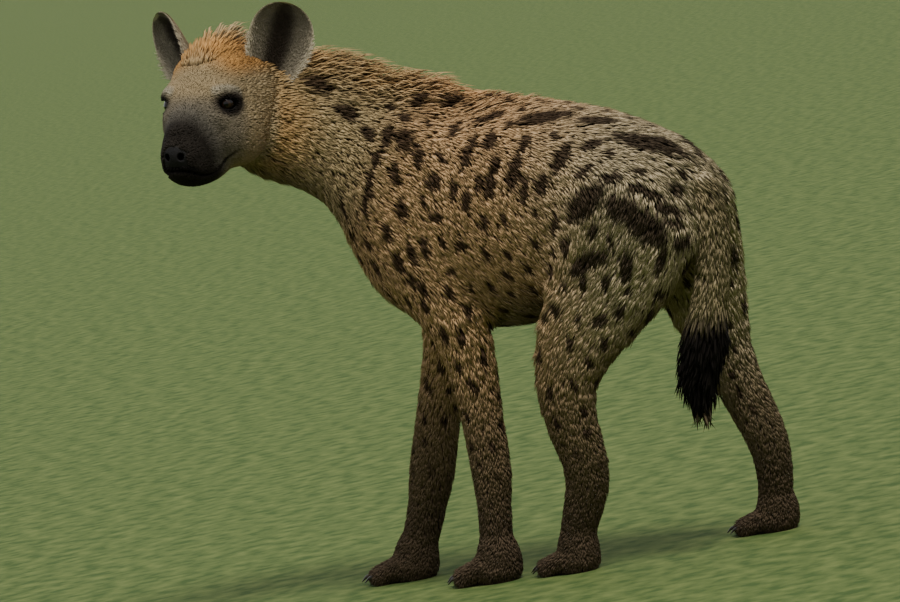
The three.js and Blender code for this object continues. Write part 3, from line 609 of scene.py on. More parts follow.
# Colours.
def paint(red, green, blue):
    """A colour given as it looks on screen, from 0 to 255, made linear."""
    c = np.array([red, green, blue]) / 255
    return np.where(c < 0.04045, c / 12.92, ((c + 0.055) / 1.055) ** 2.4)


SAND = paint(184, 150, 110)
GREY_SAND = paint(172, 160, 130)
ORANGE = paint(180, 132, 74)
SPOT = paint(42, 29, 21)
LEG = paint(104, 88, 66)
FOOT = paint(84, 70, 54)
# Painted shade for the skin that faces down.
UNDERSIDE_SHADE = paint(128, 112, 82)
FACE_COAT = paint(150, 132, 100)
MUZZLE = paint(92, 87, 77)
MUZZLE_DARK = paint(38, 33, 28)
GREY_FACE = paint(112, 104, 90)
BROW_PALE = paint(158, 150, 130)
LIP = paint(22, 19, 17)
NOSE = paint(24, 22, 21)
EYE_PATCH = paint(40, 34, 29)
BRUSH = paint(22, 18, 15)
TAIL_COAT = paint(132, 118, 88)
EAR_BACK = paint(112, 98, 74)
EAR_INSIDE = paint(116, 108, 92)
EAR_DARK = paint(40, 32, 26)
EAR_RIM = paint(196, 184, 158)
THROAT = paint(150, 134, 98)


def lumps(p, size, seed, octaves=2):
    """Smooth seeded noise between -1 and 1, a sum of a few turned waves."""
    local = np.random.default_rng(seed)
    total = np.zeros(len(p))
    weight = 0
    for octave in range(octaves):
        for _ in range(5):
            k = local.normal(size=3)
            k *= 2 * math.pi / (size / 1.9**octave) / np.linalg.norm(k)
            total += np.sin(p @ k + local.uniform(0, 6.28)) / 1.6**octave
            weight += 0.7 / 1.6**octave
    return np.clip(total / weight, -1, 1)


def mix(a, b, t):
    return a + (b - a) * np.asarray(t)[..., None]


# The camera, needed early because the placed spots are named by where they are in the picture.
def direction(azimuth, height):
    """From the middle towards a place given in degrees, with azimuth 0 in front of the animal."""
    a, e = math.radians(azimuth), math.radians(height)
    return np.array([math.sin(a) * math.cos(e), -math.cos(a) * math.cos(e), math.sin(e)])


def camera_axes():
    a, r = math.radians(CAMERA["azimuth"]), math.radians(CAMERA["roll"])
    back = direction(CAMERA["azimuth"], CAMERA["elevation"])
    right = np.array([math.cos(a), math.sin(a), 0])
    up = np.cross(back, right)
    return (math.cos(r) * right - math.sin(r) * up, math.sin(r) * right + math.cos(r) * up, back)


CAM_RIGHT, CAM_UP, CAM_BACK = camera_axes()
CAM_AT = (np.array(CAMERA["target"]) + CAM_BACK * CAMERA["distance"]) * 1000


def picture_ray(px, py):
    focal = CAMERA["pixels_per_metre"] * CAMERA["distance"]
    d = CAM_RIGHT * (px - PICTURE[0] / 2) - CAM_UP * (py - PICTURE[1] / 2) - CAM_BACK * focal
    return d / np.linalg.norm(d)


def on_skin(px, py):
    """Where a picture point meets the animal, in millimetres."""
    d = picture_ray(px, py)
    t = 8000.0
    for _ in range(90):
        step = body((CAM_AT + d * t)[None])[0]
        if step < 1:
            return CAM_AT + d * t
        t += max(step * 0.8, 1)
    return None


# The clearest spots and bands of the near side: picture x, y, length, width, slant in degrees.
PLACED_SPOTS = [
    # back and rump
    (543, 115, 50, 17, -3), (596, 119, 34, 13, 3), (653, 142, 66, 20, 16), (448, 104, 20, 14, 0),
    (418, 103, 15, 11, 0), (487, 115, 30, 11, -5), (487, 98, 16, 9, 0), (527, 95, 46, 8, 5),
    (583, 203, 44, 22, -32), (625, 210, 38, 20, 25), (647, 227, 38, 24, 38), (637, 187, 18, 9, 10),
    (652, 193, 18, 9, 15), (675, 188, 15, 13, 30), (670, 208, 24, 11, 10), (675, 222, 17, 9, 0),
    (712, 192, 17, 14, 40), (713, 210, 24, 10, 30), (637, 170, 13, 7, 20), (727, 220, 40, 10, 75),
    (590, 143, 20, 9, -15), (583, 170, 20, 8, -40), (610, 177, 20, 9, 0), (685, 242, 20, 12, -30),
    # flank
    (452, 127, 20, 11, -80), (488, 140, 17, 13, 90), (467, 150, 36, 9, -80), (490, 177, 40, 11, -78),
    (512, 172, 33, 13, -80), (523, 143, 20, 10, -75), (560, 157, 30, 14, -72), (540, 185, 20, 11, -78),
    (523, 188, 24, 8, -85), (477, 183, 17, 8, -85), (432, 182, 17, 14, 80), (452, 190, 18, 8, -85),
    (465, 200, 20, 10, -85), (435, 217, 12, 9, 0), (483, 223, 14, 7, -80), (460, 245, 13, 9, 0),
    # thigh
    (593, 230, 16, 10, -70), (563, 245, 14, 11, -80), (553, 227, 20, 7, -75), (583, 263, 56, 15, -25),
    (597, 257, 20, 10, 0), (627, 267, 30, 11, -85), (662, 260, 26, 9, -80), (693, 267, 20, 14, -85),
    (583, 283, 16, 7, -85), (605, 283, 16, 7, -85), (553, 308, 20, 11, 20), (543, 317, 14, 9, 0),
    (600, 320, 13, 11, 0), (620, 313, 13, 8, -85),
    # shoulder and foreleg
    (417, 157, 24, 9, 85), (402, 140, 22, 16, 80), (385, 135, 20, 12, 85), (385, 233, 17, 10, 85),
    (400, 210, 20, 11, 85), (393, 173, 20, 10, 85), (410, 253, 20, 9, 75), (423, 247, 18, 8, 80),
    (397, 263, 18, 11, 70), (410, 280, 14, 9, 70), (422, 290, 17, 9, 75), (468, 312, 12, 8, 90),
    (443, 335, 16, 9, 80), (460, 337, 14, 8, 90), (423, 307, 12, 9, 70), (448, 293, 14, 8, 80),
    # the dark bands of the neck
    (318, 86, 40, 13, 42), (345, 112, 36, 13, 40), (366, 132, 26, 11, 42), (386, 140, 24, 8, -60),
    (375, 160, 24, 8, -65), (368, 183, 26, 8, -80), (364, 205, 24, 7, -83),
]
# How much larger the placed spots are made than they read in the picture.
PLACED_SCALE = 1.3
# The seeded smaller spots: how many, and their length and width in millimetres.
SMALL_SPOTS = 400
SPOT_LENGTH = (19, 36)
SPOT_WIDTH = (10, 16)
# Below this height the seeded spots are smaller, and the placed ones aren't mirrored to the far side.
SMALL_BELOW = 300


def coat_flow(p, normal):
    """Which way the hair lies: from the nose back, down the neck, back along the body and down the legs."""
    fields, flows = [], []
    for loft in (torso, neck, tail, *legs.values()):
        d, _, lie = loft.near(p)
        fields.append(d)
        flows.append(lie)
    fields[0] += 2
    q = to_head(p)
    fields.append(head_local(q))
    back = np.zeros_like(q)
    back[:, 0] = -1
    back[:, 1] = q[:, 1] * 0.006
    back[:, 2] = -0.1 + 0.35 * ease(q[:, 2], 0, 60)
    flows.append(back @ HEAD_AXES)
    fields = np.array(fields)
    weight = np.exp(-(fields - fields.min(0)) / 14)
    flow = (np.array(flows) * weight[..., None]).sum(0)
    on_body = weight[0] / weight.sum(0)
    flow[:, 2] -= 1.1 * on_body * ebb(normal[:, 2], 0.3, 0.95)
    return unit(flow - normal * (flow * normal).sum(1)[:, None])


def part_place(p):
    """An unwrap of the skin's own shape: each part's length and girth in a tile of its own, 0 to 1."""
    q = to_head(p)
    lofts = [(torso, p), (neck, p), (skull, q), (tail, p), *((leg, p) for leg in legs.values())]
    best = np.full(len(p), np.inf)
    out = np.zeros((len(p), 2))
    for i, (loft, points) in enumerate(lofts):
        d, place, _ = loft.near(points)
        closer = d < best
        column, row = i % 4, i // 4
        along = np.clip(place[:, 0], 0, 1) * 0.94 + 0.03
        round_it = (place[:, 1] / (2 * math.pi) + 0.5) * 0.94 + 0.03
        tile = np.stack([(column + along) / 4, (row + round_it) / 2], 1)
        best[closer] = d[closer]
        out[closer] = tile[closer]
    return out


class Markings:
    """Spots: each has a place on the skin, a direction for its length, and half its length and width."""

    def __init__(self, samples, normals):
        spots = []
        for px, py, length, width, slant in PLACED_SPOTS:
            at = on_skin(px, py)
            if at is None:
                continue
            a = math.radians(slant)
            along = CAM_RIGHT * math.cos(a) - CAM_UP * math.sin(a)
            scale = PLACED_SCALE * 1000 / CAMERA["pixels_per_metre"] / 2
            spots.append((at, along, length * scale, width * scale))
            if at[2] > SMALL_BELOW:
                spots.append(self.mirrored(*spots[-1]))
        placed = len(spots)
        order = rng.permutation(len(samples))
        order = order[self.spotted(samples[order])]
        places = np.array([s[0] for s in spots])
        reaches = np.array([s[2] for s in spots])
        for i in order:
            if len(spots) >= SMALL_SPOTS + placed:
                break
            at = samples[i]
            length = rng.uniform(*SPOT_LENGTH) * (0.75 if at[2] < SMALL_BELOW else 1)
            width = rng.uniform(*SPOT_WIDTH) * (0.8 if at[2] < SMALL_BELOW else 1)
            clear = norm(places - at) > (length + reaches) * 0.42 + width + 6
            if clear.all():
                tilt = np.array([0.15 * rng.normal(), 0.35 + 0.2 * rng.normal(), -1.0])
                along = tilt - normals[i] * (tilt @ normals[i])
                spots.append((at, along / np.linalg.norm(along), length / 2, width / 2))
                places = np.concatenate([places, at[None]])
                reaches = np.append(reaches, length / 2)
        self.at, self.along = (np.array([s[k] for s in spots]) for k in (0, 1))
        self.half = np.array([s[2:] for s in spots])

    @staticmethod
    def mirrored(at, along, long_half, wide_half):
        """The same spot on the far side, moved and turned a little."""
        middle = np.interp(at[1], [s[1] for s in TORSO], [s[0] for s in TORSO])
        other = np.array([2 * middle - at[0], at[1] + rng.normal(0, 9), at[2] + rng.normal(0, 9)])
        for _ in range(6):
            g = slope(body, other[None])[0]
            other = other - g * body(other[None])[0] / max(g @ g, 0.2)
        turned_along = np.array([-along[0], along[1] + rng.normal(0, 0.2), along[2]])
        return other, turned_along / np.linalg.norm(turned_along), long_half, wide_half

    @staticmethod
    def spotted(p):
        on_head = head_local(to_head(p)) < 20
        on_neck = neck(p) < torso(p) - 20
        return (p[:, 2] > 150) & ~on_head & ~on_neck & (tail(p) > 6)

    def amount(self, p, normal):
        """How dark each point is, from 0 to 1, with ragged edges."""
        out = np.zeros(len(p))
        wobble = lumps(p, 16, 31) * 0.22 + lumps(p, 7, 32) * 0.14
        for at, along, half in zip(self.at, self.along, self.half):
            d = p - at
            near = (d * d).sum(1) < (half[0] + 14) ** 2
            if not near.any():
                continue
            v = d[near]
            n = normal[near]
            u = v @ along
            off = v - u[:, None] * along
            w = norm(off - n * (off * n).sum(1)[:, None])
            r = np.sqrt((u / half[0]) ** 2 + (w / half[1]) ** 2) + wobble[near]
            out[near] = np.maximum(out[near], ebb(r, 0.72, 1.15))
        return out


def nose_amount(q):
    """1 on the bare nose pad, from its rounded top edge down to just above the lip."""
    top = -53 - 0.03 * q[:, 1] ** 2
    below = ebb(q[:, 2], top - 2, top + 3)
    sides = ebb(np.abs(q[:, 1]), 17, 21)
    above_lip = ease(q[:, 2], -87, -83)
    return ease(q[:, 0], 80, 88) * below * sides * above_lip


def paint_over(colour, layers):
    """Lays each colour over the last by its own amount, from 0 to 1."""
    for layer, amount in layers:
        colour = mix(colour, layer, amount)
    return colour


def face_colour(q):
    out = fold(q)
    forward, up = q[:, 0], q[:, 2]
    slanted = forward - 0.45 * (up + 60)
    around_eye = out - EYE_AT
    ring = norm(around_eye / EYE_RING)
    inner = norm((around_eye - INNER_PATCH[0]) / INNER_PATCH[1])
    return paint_over(FACE_COAT, [
        (ORANGE, ease(up, 30, 62) * ease(-forward, -8, 40) * 0.95),
        (GREY_FACE, ease(forward, -34, 6) * ebb(up, 0, 30) * 0.8),
        (MUZZLE, ease(slanted, -8, 44)),
        (BROW_PALE, ebb(nearest_on(BROW + [0, 2, 7], out)[0], 4, 13) * 0.75),
        (EYE_PATCH, np.maximum(ebb(ring, 18, 30), ebb(inner, 13, 30) * 0.85)),
        (LIP, ebb(ring, 15, 19)),
        (MUZZLE_DARK, ease(slanted, 26, 66) * 0.95),
        (NOSE, nose_amount(q)),
        (LIP, ebb(lip_distance(out), 3, 9) * ease(forward, -12, 6) * 0.95),
        (MUZZLE_DARK, ebb(up, -104, -84) * ease(forward, -10, 26) * 0.95),
    ])


def coat_colour(p, normal, markings):
    """The coat's colour, from the back to the feet, then the spots, the face and the tail over it."""
    z = p[:, 2]
    q = to_head(p)
    mane = np.clip(mane_amount(p) * 1.3, 0, 1)
    spots = markings.amount(p, normal) * (1 - 0.75 * ebb(z, 130, 240))
    on_tail = np.where(z < TAIL_TOP, ebb(tail(p) - body_without_tail(p), -6, 4), 0) * ebb(tail(p), 10, 34)
    colour = paint_over(SAND, [
        (GREY_SAND, ease(p[:, 1], 180, 420) * 0.8),
        (THROAT, ebb(neck(p) - torso(p), -30, 20) * 0.8),
        # Painted shade: the skin is darkened where it faces down, under the belly, neck, jaw and tail.
        (UNDERSIDE_SHADE, ease(-normal[:, 2], 0.3, 0.8)),
        (ORANGE, ebb(norm(fold(q) - CHEEK), 20, 110) * 0.45),
        (ORANGE, mane * (0.75 + 0.25 * lumps(p, 60, 5))),
        (LEG, ebb(z, 190, 400) * 0.9),
        (FOOT, ebb(z, 60, 220)),
        (SPOT, spots * 0.92),
        (face_colour(q), ebb(head_local(q), 8, 26)),
        (TAIL_COAT, on_tail * 0.9),
        (BRUSH, on_tail * ebb(z, 330, 372)),
    ])
    shade = 1 + 0.10 * lumps(p, 90, 3) + 0.07 * lumps(p, 22, 4)
    return np.clip(colour * shade[:, None], 0, 1)


def set_colour(mesh, colour):
    layer = mesh.color_attributes.new("coat", "FLOAT_COLOR", "POINT")
    rgba = np.ones((len(colour), 4), np.float32)
    rgba[:, :3] = colour
    layer.data.foreach_set("color", rgba.ravel())


# Materials.
def principled(name):
    material = bpy.data.materials.new(name)
    material.use_nodes = True
    return material, material.node_tree, material.node_tree.nodes["Principled BSDF"]


def noise(tree, scale, detail):
    """Noise over the object's own place."""
    node = tree.nodes.new("ShaderNodeTexNoise")
    node.inputs["Scale"].default_value = scale
    node.inputs["Detail"].default_value = detail
    where = tree.nodes.new("ShaderNodeTexCoord")
    tree.links.new(where.outputs["Object"], node.inputs["Vector"])
    return node.outputs["Fac"]


def painted_material(name, roughness, specular=0.3, bump=0.0, bump_scale=500.0):
    material, tree, shader = principled(name)
    shader.inputs["Roughness"].default_value = roughness
    shader.inputs["Specular IOR Level"].default_value = specular
    colour = tree.nodes.new("ShaderNodeVertexColor")
    colour.layer_name = "coat"
    tree.links.new(colour.outputs["Color"], shader.inputs["Base Color"])
    if bump:
        grain = noise(tree, bump_scale, 3)
        node = tree.nodes.new("ShaderNodeBump")
        node.inputs["Strength"].default_value = bump
        node.inputs["Distance"].default_value = 0.002
        tree.links.new(grain, node.inputs["Height"])
        tree.links.new(node.outputs["Normal"], shader.inputs["Normal"])
    return material


SKIN_MATERIAL = painted_material("hyena_skin", 0.85, 0.12, 0.6, 420)
NOSE_MATERIAL = painted_material("hyena_nose", 0.55, 0.15, 0.8, 700)
COAT_MATERIAL = painted_material("hyena_coat", 0.8, 0.08)


# The skin. Its ears are thinner than the solids' and drawn in at the rim, because hair lies over them.
EAR_THIN, EAR_INSET = 0.7, 0.8


def ear_sheet(side, s, t, face, inset=EAR_INSET):
    """A point of the cupped ear, in the head's frame; face is 1 inside the cup and -1 on the back."""
    up = np.array([EAR["lean_back"][side], side * math.sin(math.radians(EAR["splay"][side])), 1.0])
    up /= np.linalg.norm(up)
    turn = math.radians(EAR["turn"][side])
    facing = np.array([math.cos(turn), side * math.sin(turn), 0.0])
    facing -= up * (facing @ up)
    facing /= np.linalg.norm(facing)
    across = np.cross(up, facing)
    widest = EAR["widest"]
    below = np.clip((widest - s) / widest, 0, 1)
    above = np.clip((s - widest) / (1 - widest), 0, 1)
    round_ = np.where(s < widest, 1 - EAR["root_taper"] * below**2, np.sqrt(np.maximum(1 - above**2.3, 0)))
    half = EAR["half_width"] * round_ - inset
    cup = EAR["cup"] * (1 - 0.55 * s) * (1 - t * t) * np.minimum(round_ * 1.4, 1)
    thick = EAR["thick"] * np.sqrt(np.maximum(1 - t * t, 0)) * np.minimum(round_ * 1.5, 1) * (1.6 - s)
    base = np.array([EAR["base"][0], side * EAR["base"][1], EAR["base"][2]])
    return (
        base
        + up * (EAR["length"] - inset) * s[..., None]
        + across * (half * t)[..., None]
        + facing * (-cup + face * thick * 0.5 * EAR_THIN + EAR["curl"] * s * s)[..., None]
        + np.array([0, 1.0, 0]) * (side * EAR["bow"] * np.sin(math.pi * s))[..., None]
    )


def ear_mesh(side, rows=40, columns=32):
    s = np.sin(np.linspace(0, 1, rows + 1) * math.pi / 2) * 0.999
    t = -np.cos(np.linspace(0, 1, columns + 1) * math.pi)
    gs, gt = np.meshgrid(s, t, indexing="ij")
    front = ear_sheet(side, gs, gt, 1).reshape(-1, 3)
    back = ear_sheet(side, gs, gt, -1).reshape(-1, 3)
    w = columns + 1
    faces = []
    for i in range(rows):
        for j in range(columns):
            a, b, c, d = i * w + j, i * w + j + 1, (i + 1) * w + j + 1, (i + 1) * w + j
            faces.append([a, b, c, d])
            faces.append([len(front) + v for v in (a, d, c, b)])
    if side < 0:
        faces = [f[::-1] for f in faces]
    inside = np.concatenate([np.ones(len(front)), np.zeros(len(back))])
    place = np.concatenate([np.stack([gs.ravel(), gt.ravel()], 1)] * 2)
    return from_head(np.concatenate([front, back])), faces, inside, place


def ear_colour(verts, inside, place):
    s, t = place[:, 0], place[:, 1]
    rim = np.maximum(ease(np.abs(t), 0.90, 0.99), ease(s, 0.965, 0.998))
    column = np.exp(-((np.abs(t) / 0.42) ** 4)) * (1 - 0.35 * ease(s, 0.8, 1))
    colour = mix(EAR_INSIDE, EAR_DARK, column * 0.95)
    colour = mix(colour, EAR_RIM, rim * 0.85)
    back = mix(EAR_BACK, EAR_RIM, rim * 0.5)
    return mix(back, colour, inside) * (1 + 0.08 * lumps(verts, 20, 8))[:, None]


# The skin's own grid reaches from LOW to HIGH, and nothing of the skin goes below SOLE.
LOW = [-190, -290, -14]
HIGH = [420, 570, 930]
SOLE = 0.4
skin_verts, skin_quads = grown(skin_field, LOW, HIGH, CELL)
skin_verts = settle(skin_field, skin_verts, 2, CELL)


def face_centres(verts, faces):
    """The middle of each face, in the head's frame."""
    return to_head(np.array([verts[list(f)].mean(0) for f in faces]))


# Two steps of finer faces: first the whole face, then round the eyes, lips and nose.
q = face_centres(skin_verts, skin_quads)
skin_verts, skin_faces = refine_faces(skin_verts, skin_quads, (q[:, 0] > -60) & (head_local(q) < 14))
q = to_head(skin_verts)
on_face = (q[:, 0] > -66) & (head_local(q) < 14)
skin_verts[on_face] = settle(skin_field, skin_verts[on_face], 2, CELL)
centre = face_centres(skin_verts, skin_faces)
out = fold(centre)
fine = norm(out - EYE_AT) < 30
fine |= lip_distance(out) < 6
fine |= (centre[:, 0] > 74) & (head_local(centre) < 10)
fine &= np.array([len(f) == 4 for f in skin_faces])
skin_verts, skin_faces = refine_faces(skin_verts, skin_faces, fine)
q = fold(to_head(skin_verts))
again = (norm(q - EYE_AT) < 34) | (lip_distance(q) < 9)
again |= (q[:, 0] > 70) & (head_local(q) < 10)
skin_verts[again] = settle(skin_field, skin_verts[again], 2, CELL)

skin_verts[:, 2] = np.maximum(skin_verts[:, 2], SOLE)
body_normals = unit(slope(body, skin_verts, NORMAL_STEP))
spread = skin_verts[rng.permutation(len(skin_verts))[:SPOT_SAMPLES]]
markings = Markings(spread, unit(slope(body, spread, NORMAL_STEP)))
colours = [coat_colour(skin_verts, body_normals, markings)]
all_verts = [skin_verts]
all_faces = list(skin_faces)
ears = {}
for side in (1, -1):
    verts, faces, inside, place = ear_mesh(side)
    start = sum(len(v) for v in all_verts)
    all_verts.append(verts)
    all_faces += [[start + v for v in f] for f in faces]
    colours.append(ear_colour(verts, inside, place))
    ears[side] = (verts, inside, place)

skin = mesh_object("skin", np.concatenate(all_verts), all_faces)
set_colour(skin.data, np.concatenate(colours))
skin.data.materials.append(SKIN_MATERIAL)
skin.data.materials.append(NOSE_MATERIAL)
face_centre = np.zeros(len(skin.data.polygons) * 3)
skin.data.polygons.foreach_get("center", face_centre)
q = to_head((face_centre.reshape(-1, 3) - SHIFT) * 1000)
nose_faces = (nose_amount(q) > 0.5) & (head_local(q) < 8)
skin.data.polygons.foreach_set("material_index", nose_faces.astype(np.int32))
skin.data.update()

FLESH = ["torso", "neck", "head", "tail", "ear_left", "ear_right"]
FLESH += [f"{part}_{name}" for name in LEGS for part in ("leg", "paw")]
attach(skin, "root")
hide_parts(*FLESH)


# The coat. Each ring of a tuft: its height, as a share of the tuft's rise or, below the skin, in
# millimetres; its place along the lie, as a share of the length; and its width, as a share of the half
# width. Then how light each ring is, and the tip: painted shade darkens the rings near the root, and the
# tip is lighter, partly the hair's pale ends and partly painted light.
LONG_TUFT = [(-1.5, -0.04, 1.0), (0.62, 0.34, 0.95), (0.94, 0.70, 0.62)]
SHORT_TUFT = [(-1.2, -0.04, 1.0), (0.72, 0.42, 0.85)]
LONG_SHADE, SHORT_SHADE, TIP_SHADE = (0.62, 0.95, 1.08), (0.62, 1.0), 1.16
# Sizes of a tuft by place, in millimetres.
LENGTH = {"body": 27, "less_on_legs": 13, "less_on_feet": 4, "head": 13, "less_on_face": 8.5, "mane": 72,
          "brush": 74}
RISE = {"over_coat": 2.5, "mane": 46, "brush": 19}
HALF_WIDTH = {"least": 0.85, "per_length": 0.045}
# The mane's hair is left out where its share is under THIN_MANE; a tuft above LONG_FROM has a ring more.
THIN_MANE = 0.06
LONG_FROM = 34
# No tufts grow this near the lids and the line between the lips, or this far up the soles.
BARE_LID, BARE_LIP, BARE_SOLE = 3.2, 2.5, 3


def scatter(verts, faces, weight, count):
    """Seeded random points over the faces, as many as their area and weight ask for."""
    tri = np.array([[f[0], f[i], f[i + 1]] for f in faces for i in range(1, len(f) - 1)])
    a, b, c = verts[tri[:, 0]], verts[tri[:, 1]], verts[tri[:, 2]]
    area = norm(np.cross(b - a, c - a)) / 2
    chance = area * weight[tri].mean(1)
    chosen = rng.choice(len(tri), count, p=chance / chance.sum())
    u, v = rng.random(count), rng.random(count)
    flip = u + v > 1
    u[flip], v[flip] = 1 - u[flip], 1 - v[flip]
    return chosen, tri, a[chosen] + u[:, None] * (b - a)[chosen] + v[:, None] * (c - a)[chosen]


def tuft_sizes(p):
    """Length, rise above the root, and half width of a tuft, in millimetres."""
    q = to_head(p)
    head = on_the_head(q, 6, 26)
    face = head * ease(q[:, 0], -70, 10)
    length = LENGTH["body"] - LENGTH["less_on_legs"] * ebb(p[:, 2], 150, 420)
    length = length - LENGTH["less_on_feet"] * ebb(p[:, 2], 40, 110)
    length = length + (LENGTH["head"] - LENGTH["less_on_face"] * face - length) * head
    mane = mane_amount(p)
    mane = np.where(mane > THIN_MANE, mane, 0)
    brush = brush_amount(p)
    rise = coat_depth(p) + RISE["over_coat"]
    length = length + (LENGTH["mane"] - length) * mane
    rise = rise + (RISE["mane"] - rise) * mane**0.8
    length = length + (LENGTH["brush"] - length) * brush
    rise = rise + (RISE["brush"] - rise) * brush
    return length, rise, np.clip(HALF_WIDTH["least"] + HALF_WIDTH["per_length"] * length, 0.7, 3.0)


def tufts(name, root, normal, lie, length, rise, half, colour, long_ones):
    """Solid blades of three sides that leave the skin and bend over along the lie of the coat."""
    count = len(root)
    across = np.cross(normal, lie)
    marks = LONG_TUFT if long_ones else SHORT_TUFT
    rings = len(marks)
    verts = []
    for up, on, wide in marks:
        height = up if up < 0 else up * rise
        centre = root + normal * np.broadcast_to(height, count)[:, None] + lie * (on * length)[:, None]
        w = (half * wide)[:, None]
        verts += [centre + across * w, centre - across * w, centre + normal * w * 0.45]
    verts.append(root + normal * rise[:, None] + lie * length[:, None])
    per = len(verts)
    flat = np.stack(verts, 1).reshape(-1, 3)
    pattern = [[0, 1, 2]]
    for r in range(rings - 1):
        o = r * 3
        for i in range(3):
            j = (i + 1) % 3
            pattern.append([o + i, o + 3 + i, o + 3 + j])
            pattern.append([o + i, o + 3 + j, o + j])
    o = (rings - 1) * 3
    for i in range(3):
        pattern.append([o + i, per - 1, o + (i + 1) % 3])
    pattern = np.array(pattern)
    faces = (pattern[None] + (np.arange(count) * per)[:, None, None]).reshape(-1, 3)
    mesh = bpy.data.meshes.new(name)
    mesh.vertices.add(len(flat))
    mesh.vertices.foreach_set("co", to_row(flat).astype(np.float32).ravel())
    mesh.loops.add(len(faces) * 3)
    mesh.loops.foreach_set("vertex_index", faces.ravel().astype(np.int32))
    mesh.polygons.add(len(faces))
    mesh.polygons.foreach_set("loop_start", np.arange(0, len(faces) * 3, 3, dtype=np.int32))
    mesh.update(calc_edges=True)
    mesh.polygons.foreach_set("use_smooth", np.full(len(faces), True))
    # Painted shade darkens each tuft towards its root; the lighter tip is partly the hair's pale ends and
    # partly painted light.
    fade = np.append(np.repeat(LONG_SHADE if long_ones else SHORT_SHADE, 3), TIP_SHADE)
    tint = (colour[:, None, :] * fade[None, :, None]).reshape(-1, 3)
    set_colour(mesh, np.clip(tint, 0, 1))
    uv = mesh.uv_layers.new(name="OFBake")
    place = part_place(root)
    corner = np.array([[math.cos(k), math.sin(k)] for k in np.linspace(0, 2 * math.pi, per, endpoint=False)])
    patch = place[:, None, :] + corner[None] * PATCH / 2
    uv.data.foreach_set("uv", patch.reshape(-1, 2)[faces.ravel()].astype(np.float32).ravel())
    obj = linked(name, mesh)
    mesh.materials.append(COAT_MATERIAL)
    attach(obj, "root")


def turned(direction, normal, angle):
    side = np.cross(normal, direction)
    return direction * np.cos(angle)[:, None] + side * np.sin(angle)[:, None]


vertex_length, _, vertex_half = tuft_sizes(skin_verts)
at_nose = to_head(skin_verts)
nose_pad = nose_amount(at_nose) * (head_local(at_nose) < 10)
under_sole = skin_verts[:, 2] < BARE_SOLE
density = 1 / (vertex_length * vertex_half) ** 0.72
density = density * (1 - nose_pad) * ~under_sole
q = fold(at_nose)
density *= norm(q - EYE_AT) > EYE_RADIUS + BARE_LID
density *= (lip_distance(q) > BARE_LIP) | (head_local(at_nose) > 10)
chosen, tri, root = scatter(skin_verts, skin_faces, density, TUFTS)
flow_at_vertices = coat_flow(skin_verts, body_normals)
normal = unit(body_normals[tri[chosen]].mean(1))
lie = flow_at_vertices[tri[chosen]].mean(1)
lie = unit(lie - normal * (lie * normal).sum(1)[:, None])
clump = lumps(root, 34, 21) * 0.22 + lumps(root, 12, 22) * 0.14
lie = turned(lie, normal, clump + rng.normal(0, 0.13, len(root)))
length, rise, half = tuft_sizes(root)
vary = rng.uniform(0.78, 1.12, len(root))
length, rise = length * vary, rise * rng.uniform(0.72, 1.04, len(root))
half = half * rng.uniform(0.8, 1.2, len(root))
seen = root + lie * (length * 0.55)[:, None] + normal * (rise * 0.8)[:, None]
colour = coat_colour(seen, normal, markings)
colour = colour * rng.uniform(0.84, 1.16, len(root))[:, None]
long_ones = length > LONG_FROM
piece = 0
for group, is_long in ((long_ones, True), (~long_ones, False)):
    index = np.nonzero(group)[0]
    per_piece = PIECE_TUFTS if is_long else int(PIECE_TUFTS * 1.5)
    order = index[np.argsort(part_place(root[index]) @ [3.0, 1.0])]
    for start in range(0, len(order), per_piece):
        take = order[start : start + per_piece]
        piece += 1
        tufts(f"coat_{piece}", root[take], normal[take], lie[take], length[take], rise[take], half[take],
              colour[take], is_long)

# Short hair on both faces of the ears, longest low on the rim.
for side, (verts, inside, place) in ears.items():
    s, t = rng.uniform(0.02, 0.97, EAR_TUFTS), rng.uniform(-0.97, 0.97, EAR_TUFTS)
    face = np.where(rng.random(EAR_TUFTS) < 0.5, 1.0, -1.0)
    step = 0.01
    at = ear_sheet(side, s, t, face)
    along = ear_sheet(side, s + step, t, face) - at
    across = ear_sheet(side, s, t + step, face) - at
    n = unit(np.cross(across, along)) * side
    n = np.where(((n * (at - ear_sheet(side, s, t, 0 * face, 0))).sum(1) < 0)[:, None], -n, n)
    edge = ease(np.abs(t), 0.72, 0.9) * ebb(s, 0.45, 0.75)
    lie_ear = unit(along + across * (t * (0.6 + 1.6 * edge))[:, None])
    at, n, lie_ear = from_head(at), n @ HEAD_AXES, lie_ear @ HEAD_AXES
    lie_ear = turned(lie_ear, n, rng.normal(0, 0.3, EAR_TUFTS))
    tint = ear_colour(at, (face > 0).astype(float), np.stack([s, t], 1))
    tint *= rng.uniform(0.85, 1.15, EAR_TUFTS)[:, None]
    tint = mix(tint, EAR_RIM, edge * 0.5)
    size = rng.uniform(6, 10, EAR_TUFTS) * (1 - 0.5 * s) * (1 + 1.2 * edge)
    name = "coat_ear_left" if side > 0 else "coat_ear_right"
    rise_ear = rng.uniform(0.6, 1.4, EAR_TUFTS)
    tufts(name, at, n, lie_ear, size, rise_ear, np.full(EAR_TUFTS, 0.8), tint, False)


# Eyes and claws.
PUPIL_ANGLE, IRIS_ANGLE = 0.26, 0.62
PUPIL, IRIS, EYE_EDGE = paint(6, 5, 5), paint(44, 30, 20), paint(20, 16, 14)


def ring_faces(rings, around):
    """The quads between rings of points."""
    faces = []
    for i in range(rings):
        for j in range(around):
            a, b = i * around + j, i * around + (j + 1) % around
            faces.append([a, a + around, b + around, b])
    return faces


